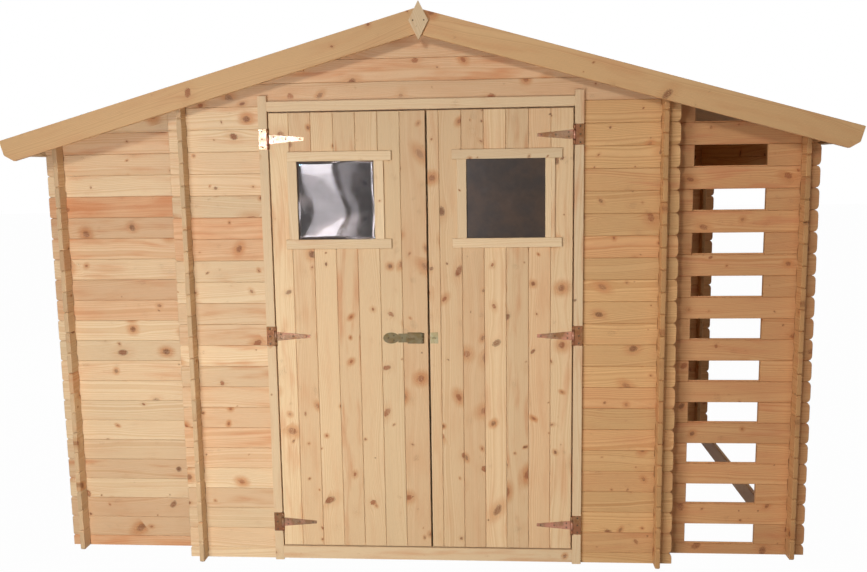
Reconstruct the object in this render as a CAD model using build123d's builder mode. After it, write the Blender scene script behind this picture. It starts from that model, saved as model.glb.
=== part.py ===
from build123d import *
import os
from math import cos, floor, radians, sin, tan

# A timber shed with a closed side room on the left and a log store on the right.
# The walls are horizontal tongued and grooved boards that cross and notch into each other
# at the corners, so that their ends stand out as scalloped ears.
# X runs to the right, Y from the front to the back, Z up. All lengths are in millimetres.
# The origin is on the ground, under the middle of the roof.

# Boards and their crossings
board_cover = 88.0
tongue = 6.0
wall_thickness = 19.0
ear_length = 58.0
notch_depth = 16.0
notch_half_height = 19.0

# Plan: the middles of the walls that run front to back, and the faces of the others
main_half_width = 950.0
end_half_width = 1519.0
main_half_depth = 942.0
bay_recess = 102.0
passage_pier = 322.0
passage_boards = 21
pier_inner_reach = 58.0

# Roof
roof_pitch = radians(15.7)
side_wall_rise = 54.967
deck_thickness = 19.0
deck_overhang = 75.0
eaves_overhang = 152.0
barge_width = 92.0
barge_thickness = 19.0
barge_rise = 7.0
barge_end_chamfer = 32.0
eaves_board_thickness = 19.0
eaves_board_width = 56.0
purlin_width = 44.0
purlin_depth = 56.0
finial_width = 76.0
finial_height = 146.0
finial_thickness = 16.0
finial_drop = 49.0
finial_shift = 10.0

# Log store
slot_inset = 141.5
slot_rows = 11
sill_boards = 1
head_first_board = 18

# Doorway: posts, head and threshold that clasp the ends of the wall boards
doorway_half_width = 606.0
frame_face = 36.0
frame_proud = 19.0
frame_inside = 19.0
frame_web = 18.0
stop_width = 14.0
door_boards = 21
post_rise = 40.0
head_web = 22.0
head_face = 39.0
threshold_bottom = 8.0
threshold_top = 62.0

# Door leaves
leaf_thickness = 19.0
leaf_gap = 5.0
meeting_x = 25.5
meeting_gap = 6.0
ledge_width = 88.0
ledge_thickness = 19.0
ledge_inset = 30.0

# Windows in the leaves
window_width = 309.0
window_height = 311.0
window_drop = 192.0
window_offset = 263.5
trim_width = 38.0
trim_thickness = 10.0
trim_overlap = 6.0
left_trim_overruns = {"top_left": 0.0, "top_right": 32.0, "bottom_left": 13.0, "bottom_right": 28.0}
right_trim_overruns = {"top_left": 19.0, "top_right": 28.0, "bottom_left": 20.0, "bottom_right": 28.0}
pane_thickness = 3.0
pane_edge_gap = 0.3
bead_width = 12.0
bead_depth = 12.0

# Tee hinges
hinge_inset = 103.0
hinge_metal = 2.5
hinge_radius = 5.0
hinge_pin_radius = 2.5
hinge_pin_fit = 0.4
hinge_stand_off = 5.5
hinge_plate_width = 35.0
hinge_plate_height = 80.0
strap_length = 143.0
strap_root_height = 38.0
strap_tip_height = 19.0
knuckle_gap = 0.6
hinge_relief = 1.0

# Hasp and staple
hasp_height = 958.0
hasp_pin_setback = 24.5
hasp_metal = 2.5
hasp_plate_length = 58.0
hasp_plate_height = 45.0
hasp_neck_length = 38.0
hasp_neck_height = 36.0
hasp_end_length = 58.0
hasp_end_height = 45.0
hasp_stand_off = 5.0
hasp_knuckle_radius = 4.0
hasp_pin_radius = 2.0
hasp_pin_fit = 0.3
flap_height = 43.0
flap_end_margin = 4.5
staple_tongue_length = 16.0
staple_tongue_thickness = 3.0
staple_tongue_projection = 20.0
staple_eye_diameter = 8.0
staple_eye_projection = 13.0
staple_plate_metal = 1.8
staple_plate_margin = 2.5
staple_plate_width = 31.0
slot_end_play = 4.0
slot_side_play = 2.0

# Floor
bearer_size = 44.0
floor_thickness = 18.0
floor_clearance = 0.3
main_bearers = 5
bay_bearers = 2
bearer_edge_distance = 118.0

# Worked-out planes
front_face = -main_half_depth
back_face = main_half_depth
bay_front_face = front_face + bay_recess
bay_back_face = back_face - bay_recess
half_neck = board_cover / 4
slope = tan(roof_pitch)
wall_split = board_cover / 2 + door_boards * board_cover
ridge_soffit = wall_split + side_wall_rise + main_half_width * slope
eaves_reach = end_half_width + eaves_overhang
side_purlin_offset = main_half_width / 2
passage_half_width = main_half_depth - passage_pier
post_top = wall_split + post_rise
head_bottom = wall_split - head_web
leaf_face = front_face - frame_proud
hinge_x = doorway_half_width - leaf_gap / 2
hinge_y = leaf_face - hinge_stand_off
leaf_bottom = threshold_top + leaf_gap
leaf_top = head_bottom - leaf_gap
side_half = wall_thickness / 2
wall_reach = side_half + ear_length


def soffit(x):
    """Height of the roof's underside at a distance x from the ridge."""
    return ridge_soffit - abs(x) * slope


def ear_edge(tip, inward, first_joint, low, high):
    """Points up one scalloped end of a wall, with a notch at every board joint."""
    points = []
    joint = first_joint + board_cover * max(0, round((low - first_joint) / board_cover))
    starts_on_joint = abs(joint - low) < 1
    if starts_on_joint:
        points += [(tip + inward * notch_depth, low), (tip, low + notch_half_height)]
        joint += board_cover
    else:
        points.append((tip, low))
    while joint + notch_half_height < high:
        points.append((tip, joint - notch_half_height))
        points.append((tip + inward * notch_depth, joint))
        points.append((tip, joint + notch_half_height))
        joint += board_cover
    if abs(joint - high) < 1:
        points += [(tip, high - notch_half_height), (tip + inward * notch_depth, high)]
    else:
        points.append((tip, high))
    return points


def neck_heights(first, top):
    """Middle heights of one wall's necks, one for each board, up to a height."""
    count = floor((top - first) / board_cover) + 1
    return [first + board_cover * row for row in range(count)]


# Outline, seen from the front, of all that lies above the roof's underside
void_reach = end_half_width + 2 * wall_reach
void_top = ridge_soffit + board_cover
roof_void = [
    (-void_reach, soffit(void_reach)),
    (0, ridge_soffit),
    (void_reach, soffit(void_reach)),
    (void_reach, void_top),
    (-void_reach, void_top),
]


def front_run_wall(outer_face, inward, left, right, low, high, crossings, ears):
    """A wall whose boards run left to right: a profile seen from the front, given its thickness.

    inward is 1 where the wall's thickness goes back from its outer face, and -1 where it comes
    forward. ears says for the left and the right end whether it is scalloped, and crossings
    are the middles of the walls that notch through this one.
    """
    rear_face = max(outer_face, outer_face + inward * wall_thickness)
    half_cover = board_cover / 2
    left_edge = ear_edge(left, 1, half_cover, low, high) if ears[0] else [(left, low), (left, high)]
    right_edge = ear_edge(right, -1, half_cover, low, high) if ears[1] else [(right, low), (right, high)]
    with BuildPart() as wall:
        with BuildSketch(Plane.XZ.offset(-rear_face)):
            with BuildLine():
                Polyline(*right_edge, *reversed(left_edge), close=True)
            make_face()
            necks = [z for z in neck_heights(half_cover, high) if z > low - half_cover]
            with Locations(*[(middle, z) for middle in crossings for z in necks]):
                Rectangle(wall_thickness, 2 * half_neck, mode=Mode.SUBTRACT)
            with BuildLine():
                Polyline(*roof_void, close=True)
            make_face(mode=Mode.SUBTRACT)
        extrude(amount=wall_thickness)
    return wall.part


def depth_run_wall(middle, front, back, low, high, crossings, ears=(True, True)):
    """A wall whose boards run front to back: a profile seen from the side, given its thickness.

    crossings are the middles, in Y, of the walls that notch through this one.
    """
    front_edge = ear_edge(front, 1, board_cover, low, high) if ears[0] else [(front, low), (front, high)]
    back_edge = ear_edge(back, -1, board_cover, low, high) if ears[1] else [(back, low), (back, high)]
    with BuildPart() as wall:
        with BuildSketch(Plane.YZ.offset(middle - side_half)):
            with BuildLine():
                Polyline(*back_edge, *reversed(front_edge), close=True)
            make_face()
            necks = [z for z in neck_heights(0, high + half_neck) if z > low - half_neck]
            with Locations(*[(crossing, z) for crossing in crossings for z in necks]):
                Rectangle(wall_thickness, 2 * half_neck, mode=Mode.SUBTRACT)
        extrude(amount=wall_thickness)
        if high > soffit(abs(middle) + side_half):
            with BuildSketch(Plane.XZ.offset(-back)):
                with BuildLine():
                    Polyline(*roof_void, close=True)
                make_face()
            extrude(amount=back - front, mode=Mode.SUBTRACT)
    return wall.part


# Middles, in Y, of the walls that run left to right
front_middle = front_face + side_half
back_middle = back_face - side_half
bay_front_middle = bay_front_face + side_half
bay_back_middle = bay_back_face - side_half


def purlin_profile(middle):
    """Outline of a purlin's section, whose top follows the roof's underside."""
    left, right = middle - purlin_width / 2, middle + purlin_width / 2
    bottom = soffit(middle) - purlin_depth
    peak = [(0, ridge_soffit)] if left < 0 < right else []
    return [(left, bottom), (right, bottom), (right, soffit(right)), *peak, (left, soffit(left))]


def gable_wall(outer_face, inward, low):
    """A gable that runs up to the ridge, notched for the purlins."""
    reach = main_half_width + wall_reach
    middles = (-main_half_width, main_half_width)
    profile = front_run_wall(outer_face, inward, -reach, reach, low, ridge_soffit, middles, (True, True))
    rear_face = max(outer_face, outer_face + inward * wall_thickness)
    with BuildPart() as gable:
        add(profile)
        for middle in (-side_purlin_offset, 0, side_purlin_offset):
            with BuildSketch(Plane.XZ.offset(-rear_face)):
                with BuildLine():
                    Polyline(*purlin_profile(middle), close=True)
                make_face()
            extrude(amount=wall_thickness, mode=Mode.SUBTRACT)
    return gable.part


def keep(part, name):
    """Label a finished piece and write it."""
    part.label = name
    export_step(part, f"parts/{name}.step")


# Main front: a panel on each side of the doorway, and the gable above both
wall_end = doorway_half_width + frame_web
front_reach = main_half_width + wall_reach
front_wall_left = front_run_wall(
    front_face, 1, -front_reach, -wall_end, 0, wall_split, (-main_half_width,), (True, False)
)
keep(front_wall_left, "front_wall_left")
front_wall_right = front_run_wall(
    front_face, 1, wall_end, front_reach, 0, wall_split, (main_half_width,), (False, True)
)
keep(front_wall_right, "front_wall_right")
front_gable = gable_wall(front_face, 1, wall_split)
keep(front_gable, "front_gable")
back_wall = gable_wall(back_face, -1, 0)
keep(back_wall, "back_wall")

# Side room on the left: front, back and end, all closed
bay_reach_out = end_half_width + wall_reach
bay_reach_in = main_half_width - wall_reach
bay_crossings_left = (-end_half_width, -main_half_width)
side_room_front_wall = front_run_wall(
    bay_front_face, 1, -bay_reach_out, -bay_reach_in, 0, ridge_soffit, bay_crossings_left, (True, True)
)
keep(side_room_front_wall, "side_room_front_wall")
side_room_back_wall = front_run_wall(
    bay_back_face, -1, -bay_reach_out, -bay_reach_in, 0, ridge_soffit, bay_crossings_left, (True, True)
)
keep(side_room_back_wall, "side_room_back_wall")
end_front = bay_front_face - ear_length
end_back = bay_back_face + ear_length
bay_middles = (bay_front_middle, bay_back_middle)
side_room_end_wall = depth_run_wall(-end_half_width, end_front, end_back, 0, ridge_soffit, bay_middles)
keep(side_room_end_wall, "side_room_end_wall")

# Partition between the side room and the main room, open in the middle
all_middles = (front_middle, bay_front_middle, bay_back_middle, back_middle)
partition_front = front_face - ear_length
partition_back = back_face + ear_length
passage_top = passage_boards * board_cover
left_partition_front = depth_run_wall(
    -main_half_width, partition_front, -passage_half_width, 0, passage_top, all_middles[:2], (True, False)
)
keep(left_partition_front, "left_partition_front")
left_partition_back = depth_run_wall(
    -main_half_width, passage_half_width, partition_back, 0, passage_top, all_middles[2:], (False, True)
)
keep(left_partition_back, "left_partition_back")
left_partition_head = depth_run_wall(
    -main_half_width, partition_front, partition_back, passage_top, ridge_soffit, all_middles
)
keep(left_partition_head, "left_partition_head")

# Partition between the main room and the log store, closed
right_partition = depth_run_wall(
    main_half_width, partition_front, partition_back, 0, ridge_soffit, all_middles
)
keep(right_partition, "right_partition")

# Log store: a slatted front, a solid back, and an open end between two piers
slot_pitch = 2 * board_cover
slot_height = board_cover - tongue
slot_first_middle = board_cover / 2 + tongue + slot_height / 2
slot_left = main_half_width + slot_inset
slot_right = end_half_width - slot_inset
bay_crossings_right = (main_half_width, end_half_width)
closed_front = front_run_wall(
    bay_front_face, 1, bay_reach_in, bay_reach_out, 0, ridge_soffit, bay_crossings_right, (True, True)
)
with BuildPart() as log_store_slatted_front:
    add(closed_front)
    with BuildSketch(Plane.XZ.offset(-(bay_front_face + wall_thickness))):
        slot_middle = (slot_left + slot_right) / 2
        with Locations(*[(slot_middle, slot_first_middle + row * slot_pitch) for row in range(slot_rows)]):
            Rectangle(slot_right - slot_left, slot_height)
    extrude(amount=wall_thickness, mode=Mode.SUBTRACT)
keep(log_store_slatted_front.part, "log_store_slatted_front")
log_store_back_wall = front_run_wall(
    bay_back_face, -1, bay_reach_in, bay_reach_out, 0, ridge_soffit, bay_crossings_right, (True, True)
)
keep(log_store_back_wall, "log_store_back_wall")
sill_top = sill_boards * board_cover
head_bottom_z = head_first_board * board_cover
log_store_end_sill = depth_run_wall(end_half_width, end_front, end_back, 0, sill_top, bay_middles)
keep(log_store_end_sill, "log_store_end_sill")
log_store_front_pier = depth_run_wall(
    end_half_width, end_front, bay_front_face + wall_thickness + pier_inner_reach, sill_top, head_bottom_z,
    (bay_front_middle,)
)
keep(log_store_front_pier, "log_store_front_pier")
log_store_back_pier = depth_run_wall(
    end_half_width, bay_back_face - wall_thickness - pier_inner_reach, end_back, sill_top, head_bottom_z,
    (bay_back_middle,)
)
keep(log_store_back_pier, "log_store_back_pier")
log_store_end_head = depth_run_wall(
    end_half_width, end_front, end_back, head_bottom_z, ridge_soffit, bay_middles
)
keep(log_store_end_head, "log_store_end_head")

# Roof: two boarded slopes on three purlins, eaves boards, barge boards and finials
deck_front = front_face - deck_overhang
deck_length = 2 * (main_half_depth + deck_overhang)
slope_length = eaves_reach / cos(roof_pitch)
deck_slope_length = slope_length - eaves_board_thickness


def along_slope(side, distance, down):
    """A point a distance down the slope from the ridge, and so far square below the barge's top."""
    x = distance * cos(roof_pitch) - down * sin(roof_pitch)
    z = barge_peak - distance * sin(roof_pitch) - down * cos(roof_pitch)
    return (side * x, z)


deck_top_drop = barge_rise
deck_bottom_drop = barge_rise + deck_thickness
barge_peak = ridge_soffit + deck_bottom_drop / cos(roof_pitch)


def slope_piece(side, outline, near, far):
    """A piece of the roof with one outline seen from the front, from one depth to another."""
    with BuildPart() as piece:
        with BuildSketch(Plane.XZ.offset(-far)):
            with BuildLine():
                Polyline(*outline, close=True)
            make_face()
        extrude(amount=far - near)
    return piece.part


def deck_outline(side):
    """Section of the roof boards on one slope, mitred at the ridge."""
    return [
        (0, barge_peak - deck_top_drop / cos(roof_pitch)),
        along_slope(side, deck_slope_length, deck_top_drop),
        along_slope(side, deck_slope_length, deck_bottom_drop),
        (0, ridge_soffit),
    ]


def eaves_outline(side):
    """Section of the board along the eaves, square to the slope."""
    low = deck_top_drop + eaves_board_width
    return [
        along_slope(side, deck_slope_length, deck_top_drop),
        along_slope(side, slope_length, deck_top_drop),
        along_slope(side, slope_length, low),
        along_slope(side, deck_slope_length, low),
    ]


def barge_outline(side):
    """Outline of a barge board: mitred at the ridge, its lower corner cut off at the eaves."""
    return [
        (0, barge_peak),
        along_slope(side, slope_length, 0),
        along_slope(side, slope_length, barge_width - barge_end_chamfer),
        along_slope(side, slope_length - barge_end_chamfer, barge_width),
        (0, barge_peak - barge_width / cos(roof_pitch)),
    ]


for side, hand in ((-1, "left"), (1, "right")):
    keep(slope_piece(side, deck_outline(side), deck_front, -deck_front), f"roof_deck_{hand}")
    keep(slope_piece(side, eaves_outline(side), deck_front, -deck_front), f"eaves_board_{hand}")
    front_barge = slope_piece(side, barge_outline(side), deck_front - barge_thickness, deck_front)
    keep(front_barge, f"front_barge_board_{hand}")
    back_barge = slope_piece(side, barge_outline(side), -deck_front, -deck_front + barge_thickness)
    keep(back_barge, f"back_barge_board_{hand}")
    purlin = slope_piece(side, purlin_profile(side * side_purlin_offset), deck_front, -deck_front)
    keep(purlin, f"purlin_{hand}")
keep(slope_piece(1, purlin_profile(0), deck_front, -deck_front), "ridge_purlin")

finial_middle = barge_peak - finial_drop
finial_outline = [
    (finial_shift, finial_middle + finial_height / 2),
    (finial_shift + finial_width / 2, finial_middle),
    (finial_shift, finial_middle - finial_height / 2),
    (finial_shift - finial_width / 2, finial_middle),
]
finial_back = deck_front - barge_thickness
keep(slope_piece(1, finial_outline, finial_back - finial_thickness, finial_back), "front_finial")
keep(slope_piece(1, finial_outline, -finial_back, -finial_back + finial_thickness), "back_finial")

# Doorway: each post is a channel that clasps the wall boards, with a stop for the leaf
frame_outer = doorway_half_width + frame_face
stop_half_width = doorway_half_width - stop_width
frame_back = front_face + wall_thickness + frame_inside
stop_front = leaf_face + leaf_thickness + leaf_gap


def door_post(side):
    """A post: its plan is a channel round the board ends, with a rebate on the doorway side."""
    plan = [
        (side * doorway_half_width, leaf_face),
        (side * frame_outer, leaf_face),
        (side * frame_outer, front_face),
        (side * wall_end, front_face),
        (side * wall_end, front_face + wall_thickness),
        (side * frame_outer, front_face + wall_thickness),
        (side * frame_outer, frame_back),
        (side * stop_half_width, frame_back),
        (side * stop_half_width, stop_front),
        (side * doorway_half_width, stop_front),
    ]
    with BuildPart() as post:
        with BuildSketch(Plane.XY):
            with BuildLine():
                Polyline(*plan, close=True)
            make_face()
        extrude(amount=post_top)
        with BuildSketch(Plane.XY.offset(wall_split)):
            with Locations((side * doorway_half_width, front_middle)):
                Rectangle(2 * frame_outer, wall_thickness)
        extrude(amount=post_top - wall_split, mode=Mode.SUBTRACT)
    return post.part


keep(door_post(-1), "door_post_left")
keep(door_post(1), "door_post_right")

head_top = head_bottom + head_face
with BuildPart() as door_head:
    with BuildSketch(Plane.YZ.offset(-doorway_half_width)):
        with BuildLine():
            Polyline(
                (leaf_face, head_bottom),
                (leaf_face, head_top),
                (front_face, head_top),
                (front_face, wall_split),
                (front_face + wall_thickness, wall_split),
                (front_face + wall_thickness, head_top),
                (frame_back, head_top),
                (frame_back, head_bottom - stop_width),
                (stop_front, head_bottom - stop_width),
                (stop_front, head_bottom),
                close=True,
            )
        make_face()
    extrude(amount=2 * doorway_half_width)
    with BuildSketch(Plane.XY.offset(head_bottom - stop_width)):
        for side in (-1, 1):
            stop_middle = side * (stop_half_width + stop_width / 2)
            with Locations((stop_middle, (stop_front + frame_back) / 2)):
                Rectangle(stop_width, frame_back - stop_front)
    extrude(amount=head_top - head_bottom + stop_width, mode=Mode.SUBTRACT)
keep(door_head.part, "door_head")

with BuildPart() as door_threshold:
    with BuildSketch(Plane.XY.offset(threshold_bottom)):
        with Locations((0, (leaf_face + stop_front) / 2)):
            Rectangle(2 * doorway_half_width, stop_front - leaf_face)
        with Locations((0, (stop_front + frame_back) / 2)):
            Rectangle(2 * stop_half_width, frame_back - stop_front)
    extrude(amount=threshold_top - threshold_bottom)
keep(door_threshold.part, "door_threshold")

# Floor: boards on bearers, in the main room and on through the passage into the side room
floor_top = bearer_size + floor_thickness
room_half_width = main_half_width - side_half - floor_clearance
floor_front = frame_back + floor_clearance
floor_back = back_face - wall_thickness - floor_clearance
side_room_left = -(end_half_width - side_half - floor_clearance)
side_room_right = -(main_half_width + side_half + floor_clearance)
side_room_front = bay_front_face + wall_thickness + floor_clearance
side_room_back = -side_room_front
ear_notch_length = ear_length + 2 * floor_clearance
main_bearer_run = 2 * (main_half_width - side_half - bearer_edge_distance) - bearer_size
bay_bearer_run = end_half_width - main_half_width - wall_thickness - 2 * bearer_edge_distance - bearer_size

with BuildPart() as main_floor:
    with BuildSketch(Plane.XY.offset(bearer_size)):
        with Locations((0, (floor_front + floor_back) / 2)):
            Rectangle(2 * room_half_width, floor_back - floor_front)
        notch_middle = main_half_width - side_half - ear_notch_length / 2
        for x in (-notch_middle, notch_middle):
            with Locations((x, bay_front_middle), (x, bay_back_middle)):
                Rectangle(ear_notch_length, wall_thickness + 2 * floor_clearance, mode=Mode.SUBTRACT)
    extrude(amount=floor_thickness)
keep(main_floor.part, "main_floor")

with BuildPart() as side_room_floor:
    with BuildSketch(Plane.XY.offset(bearer_size)):
        with Locations(((side_room_left + side_room_right) / 2, 0)):
            Rectangle(side_room_right - side_room_left, side_room_back - side_room_front)
        passage_left = side_room_right
        passage_right = -room_half_width - floor_clearance
        with Locations(((passage_left + passage_right) / 2, 0)):
            Rectangle(passage_right - passage_left, 2 * (passage_half_width - floor_clearance))
    extrude(amount=floor_thickness)
keep(side_room_floor.part, "side_room_floor")

with BuildPart() as floor_bearers:
    with BuildSketch(Plane.XY):
        with Locations((0, (floor_front + floor_back) / 2)):
            with GridLocations(main_bearer_run / (main_bearers - 1), 1, main_bearers, 1):
                Rectangle(bearer_size, floor_back - floor_front)
        with Locations(((side_room_left + side_room_right) / 2, 0)):
            with GridLocations(bay_bearer_run / (bay_bearers - 1), 1, bay_bearers, 1):
                Rectangle(bearer_size, side_room_back - side_room_front)
    extrude(amount=bearer_size)
keep(floor_bearers.part, "floor_bearers")

# Door leaves: upright boards with a window cut through, ledges behind
leaf_side = doorway_half_width - leaf_gap
left_leaf_span = (-leaf_side, meeting_x - meeting_gap / 2)
right_leaf_span = (meeting_x + meeting_gap / 2, leaf_side)
left_window_middle = -leaf_side + window_offset
right_window_middle = leaf_side - window_offset
window_bottom = leaf_top - window_drop - window_height
window_middle_z = window_bottom + window_height / 2
hinge_heights = (leaf_bottom + hinge_inset, (leaf_bottom + leaf_top) / 2, leaf_top - hinge_inset)
cut_width = window_width + 2 * trim_overlap
cut_height = window_height + 2 * trim_overlap
leaf_back = leaf_face + leaf_thickness


def door_leaf(span, window_middle):
    """One leaf, cut through for its window."""
    with BuildPart() as leaf:
        with BuildSketch(Plane.XZ.offset(-leaf_back)):
            with Locations(((span[0] + span[1]) / 2, (leaf_bottom + leaf_top) / 2)):
                Rectangle(span[1] - span[0], leaf_top - leaf_bottom)
            with Locations((window_middle, window_middle_z)):
                Rectangle(cut_width, cut_height, mode=Mode.SUBTRACT)
        extrude(amount=leaf_thickness)
    return leaf.part


def door_ledges(span, hinge_side):
    """Three ledges across a leaf's back, behind its hinges, and a brace that rises from the hinge side."""
    left = span[0] + ledge_inset
    right = span[1] - ledge_inset
    foot, head = (left, right) if hinge_side < 0 else (right, left)
    brace_low = hinge_heights[0] + ledge_width / 2
    brace_high = hinge_heights[1] - ledge_width / 2
    inward = -hinge_side * ledge_width
    with BuildPart() as ledges:
        with BuildSketch(Plane.XZ.offset(-(leaf_back + ledge_thickness))):
            middle = (left + right) / 2
            with Locations(*[(middle, z) for z in hinge_heights]):
                Rectangle(right - left, ledge_width)
            with BuildLine():
                Polyline(
                    (foot, brace_low),
                    (foot + inward, brace_low),
                    (head, brace_high),
                    (head - inward, brace_high),
                    close=True,
                )
            make_face()
        extrude(amount=ledge_thickness)
    return ledges.part


def window_trim(window_middle, overruns):
    """The boards round a window, whose top and bottom run past the sides, and the bead behind the pane."""
    left = window_middle - window_width / 2
    right = window_middle + window_width / 2
    bottom = window_bottom
    top = window_bottom + window_height
    outer_left = left - trim_width
    outer_right = right + trim_width
    top_span = (outer_left - overruns["top_left"], outer_right + overruns["top_right"])
    bottom_span = (outer_left - overruns["bottom_left"], outer_right + overruns["bottom_right"])
    with BuildPart() as trim:
        with BuildSketch(Plane.XZ.offset(-leaf_face)):
            with Locations((window_middle, window_middle_z)):
                Rectangle(window_width + 2 * trim_width, window_height)
            with Locations(((top_span[0] + top_span[1]) / 2, top + trim_width / 2)):
                Rectangle(top_span[1] - top_span[0], trim_width)
            with Locations(((bottom_span[0] + bottom_span[1]) / 2, bottom - trim_width / 2)):
                Rectangle(bottom_span[1] - bottom_span[0], trim_width)
            with Locations((window_middle, window_middle_z)):
                Rectangle(window_width, window_height, mode=Mode.SUBTRACT)
        extrude(amount=trim_thickness)
        bead_front = leaf_face + pane_thickness + pane_edge_gap
        with BuildSketch(Plane.XZ.offset(-(bead_front + bead_depth))):
            with Locations((window_middle, window_middle_z)):
                Rectangle(cut_width, cut_height)
                Rectangle(cut_width - 2 * bead_width, cut_height - 2 * bead_width, mode=Mode.SUBTRACT)
        extrude(amount=bead_depth)
    return trim.part


def window_pane(window_middle):
    """The clear sheet, in the cut behind the trim."""
    with BuildPart() as pane:
        with BuildSketch(Plane.XZ.offset(-(leaf_face + pane_thickness))):
            with Locations((window_middle, window_middle_z)):
                Rectangle(cut_width - 2 * pane_edge_gap, cut_height - 2 * pane_edge_gap)
        extrude(amount=pane_thickness)
    return pane.part


def hinge_straps(side):
    """The three tapered straps on one leaf, each with the middle knuckle round the pin."""
    with BuildPart() as straps:
        for height in hinge_heights:
            with BuildSketch(Plane.XZ.offset(-leaf_face)):
                with BuildLine():
                    root, tip = side * hinge_x, side * (hinge_x - strap_length)
                    Polyline(
                        (root, height - strap_root_height / 2),
                        (root, height + strap_root_height / 2),
                        (tip, height + strap_tip_height / 2),
                        (tip, height - strap_tip_height / 2),
                        close=True,
                    )
                make_face()
            extrude(amount=hinge_metal)
            knuckle_bottom = height - strap_root_height / 2
            with BuildSketch(Plane.XY.offset(knuckle_bottom)):
                with Locations((side * hinge_x, hinge_y)):
                    Circle(hinge_radius)
                with Locations((side * hinge_x - side * hinge_radius / 2, leaf_face - hinge_stand_off / 2)):
                    Rectangle(hinge_radius, hinge_stand_off)
            extrude(amount=strap_root_height)
            with BuildSketch(Plane.XY.offset(knuckle_bottom)):
                with Locations((side * hinge_x, hinge_y)):
                    Circle(hinge_pin_radius + hinge_pin_fit)
            extrude(amount=strap_root_height, mode=Mode.SUBTRACT)
    return straps.part


keep(door_leaf(left_leaf_span, left_window_middle), "left_door_leaf")
keep(door_leaf(right_leaf_span, right_window_middle), "right_door_leaf")
keep(door_ledges(left_leaf_span, -1), "left_door_ledges")
keep(door_ledges(right_leaf_span, 1), "right_door_ledges")
keep(window_trim(left_window_middle, left_trim_overruns), "left_window_trim")
keep(window_trim(right_window_middle, right_trim_overruns), "right_window_trim")
keep(window_pane(left_window_middle), "left_window_pane")
keep(window_pane(right_window_middle), "right_window_pane")
keep(hinge_straps(-1), "left_door_hinge_straps")
keep(hinge_straps(1), "right_door_hinge_straps")

# Hinge plates on the posts: the outer knuckles, and the pin that runs through all three
with BuildPart() as hinge_plates:
    plate_knuckle = (hinge_plate_height - strap_root_height) / 2 - knuckle_gap
    for side in (-1, 1):
        for height in hinge_heights:
            plate_middle = side * (doorway_half_width + hinge_plate_width / 2)
            with BuildSketch(Plane.XZ.offset(-leaf_face)):
                with Locations((plate_middle, height)):
                    Rectangle(hinge_plate_width, hinge_plate_height)
                with Locations((side * hinge_x, height)):
                    relief_height = strap_root_height + 2 * knuckle_gap
                    Rectangle(2 * (hinge_radius + hinge_relief), relief_height, mode=Mode.SUBTRACT)
            extrude(amount=hinge_metal)
            plate_bottom = height - hinge_plate_height / 2
            upper_knuckle = height + strap_root_height / 2 + knuckle_gap
            for knuckle_bottom in (plate_bottom, upper_knuckle):
                with BuildSketch(Plane.XY.offset(knuckle_bottom)):
                    with Locations((side * hinge_x, hinge_y)):
                        Circle(hinge_radius)
                    web_middle = side * (hinge_x + hinge_radius / 2)
                    with Locations((web_middle, leaf_face - (hinge_stand_off + hinge_metal) / 2)):
                        Rectangle(hinge_radius, hinge_stand_off - hinge_metal)
                extrude(amount=plate_knuckle)
            with BuildSketch(Plane.XY.offset(plate_bottom)):
                with Locations((side * hinge_x, hinge_y)):
                    Circle(hinge_pin_radius)
            extrude(amount=hinge_plate_height)
keep(hinge_plates.part, "hinge_plates")

# Hasp: a long plate on the left leaf whose flap is folded back onto it, and a staple on the right leaf
hasp_y = leaf_face - hasp_stand_off
hasp_pin_x = meeting_x - hasp_pin_setback
staple_plate_left = right_leaf_span[0] + staple_plate_margin
staple_plate_middle = staple_plate_left + staple_plate_width / 2
staple_reach = staple_plate_middle - hasp_pin_x
flap_length = staple_reach + staple_tongue_length / 2 + slot_end_play + flap_end_margin
hasp_inner_end = hasp_pin_x - hasp_knuckle_radius
hasp_knuckle_height = flap_height / 3

with BuildPart() as hasp_plate:
    with BuildSketch(Plane.XZ.offset(-leaf_face)):
        with Locations((hasp_inner_end - hasp_plate_length / 2, hasp_height)):
            Rectangle(hasp_plate_length, hasp_plate_height)
        neck_right = hasp_inner_end - hasp_plate_length
        with Locations((neck_right - hasp_neck_length / 2, hasp_height)):
            Rectangle(hasp_neck_length + 1, hasp_neck_height)
        end_right = neck_right - hasp_neck_length
        with Locations((end_right - hasp_end_length / 2, hasp_height)):
            Ellipse(hasp_end_length / 2 + 4, hasp_end_height / 2)
    extrude(amount=hasp_metal)
    for height in (hasp_height - hasp_knuckle_height, hasp_height + hasp_knuckle_height):
        with BuildSketch(Plane.XY.offset(height - hasp_knuckle_height / 2 + knuckle_gap / 2)):
            with Locations((hasp_pin_x, hasp_y)):
                Circle(hasp_knuckle_radius)
            with Locations((hasp_pin_x - hasp_knuckle_radius / 2 - 1, leaf_face - hasp_metal / 2)):
                Rectangle(hasp_knuckle_radius + 2, hasp_metal)
        extrude(amount=hasp_knuckle_height - knuckle_gap)
    with BuildSketch(Plane.XY.offset(hasp_height - 1.5 * hasp_knuckle_height)):
        with Locations((hasp_pin_x, hasp_y)):
            Circle(hasp_pin_radius)
    extrude(amount=3 * hasp_knuckle_height)
keep(hasp_plate.part, "hasp_plate")

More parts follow.
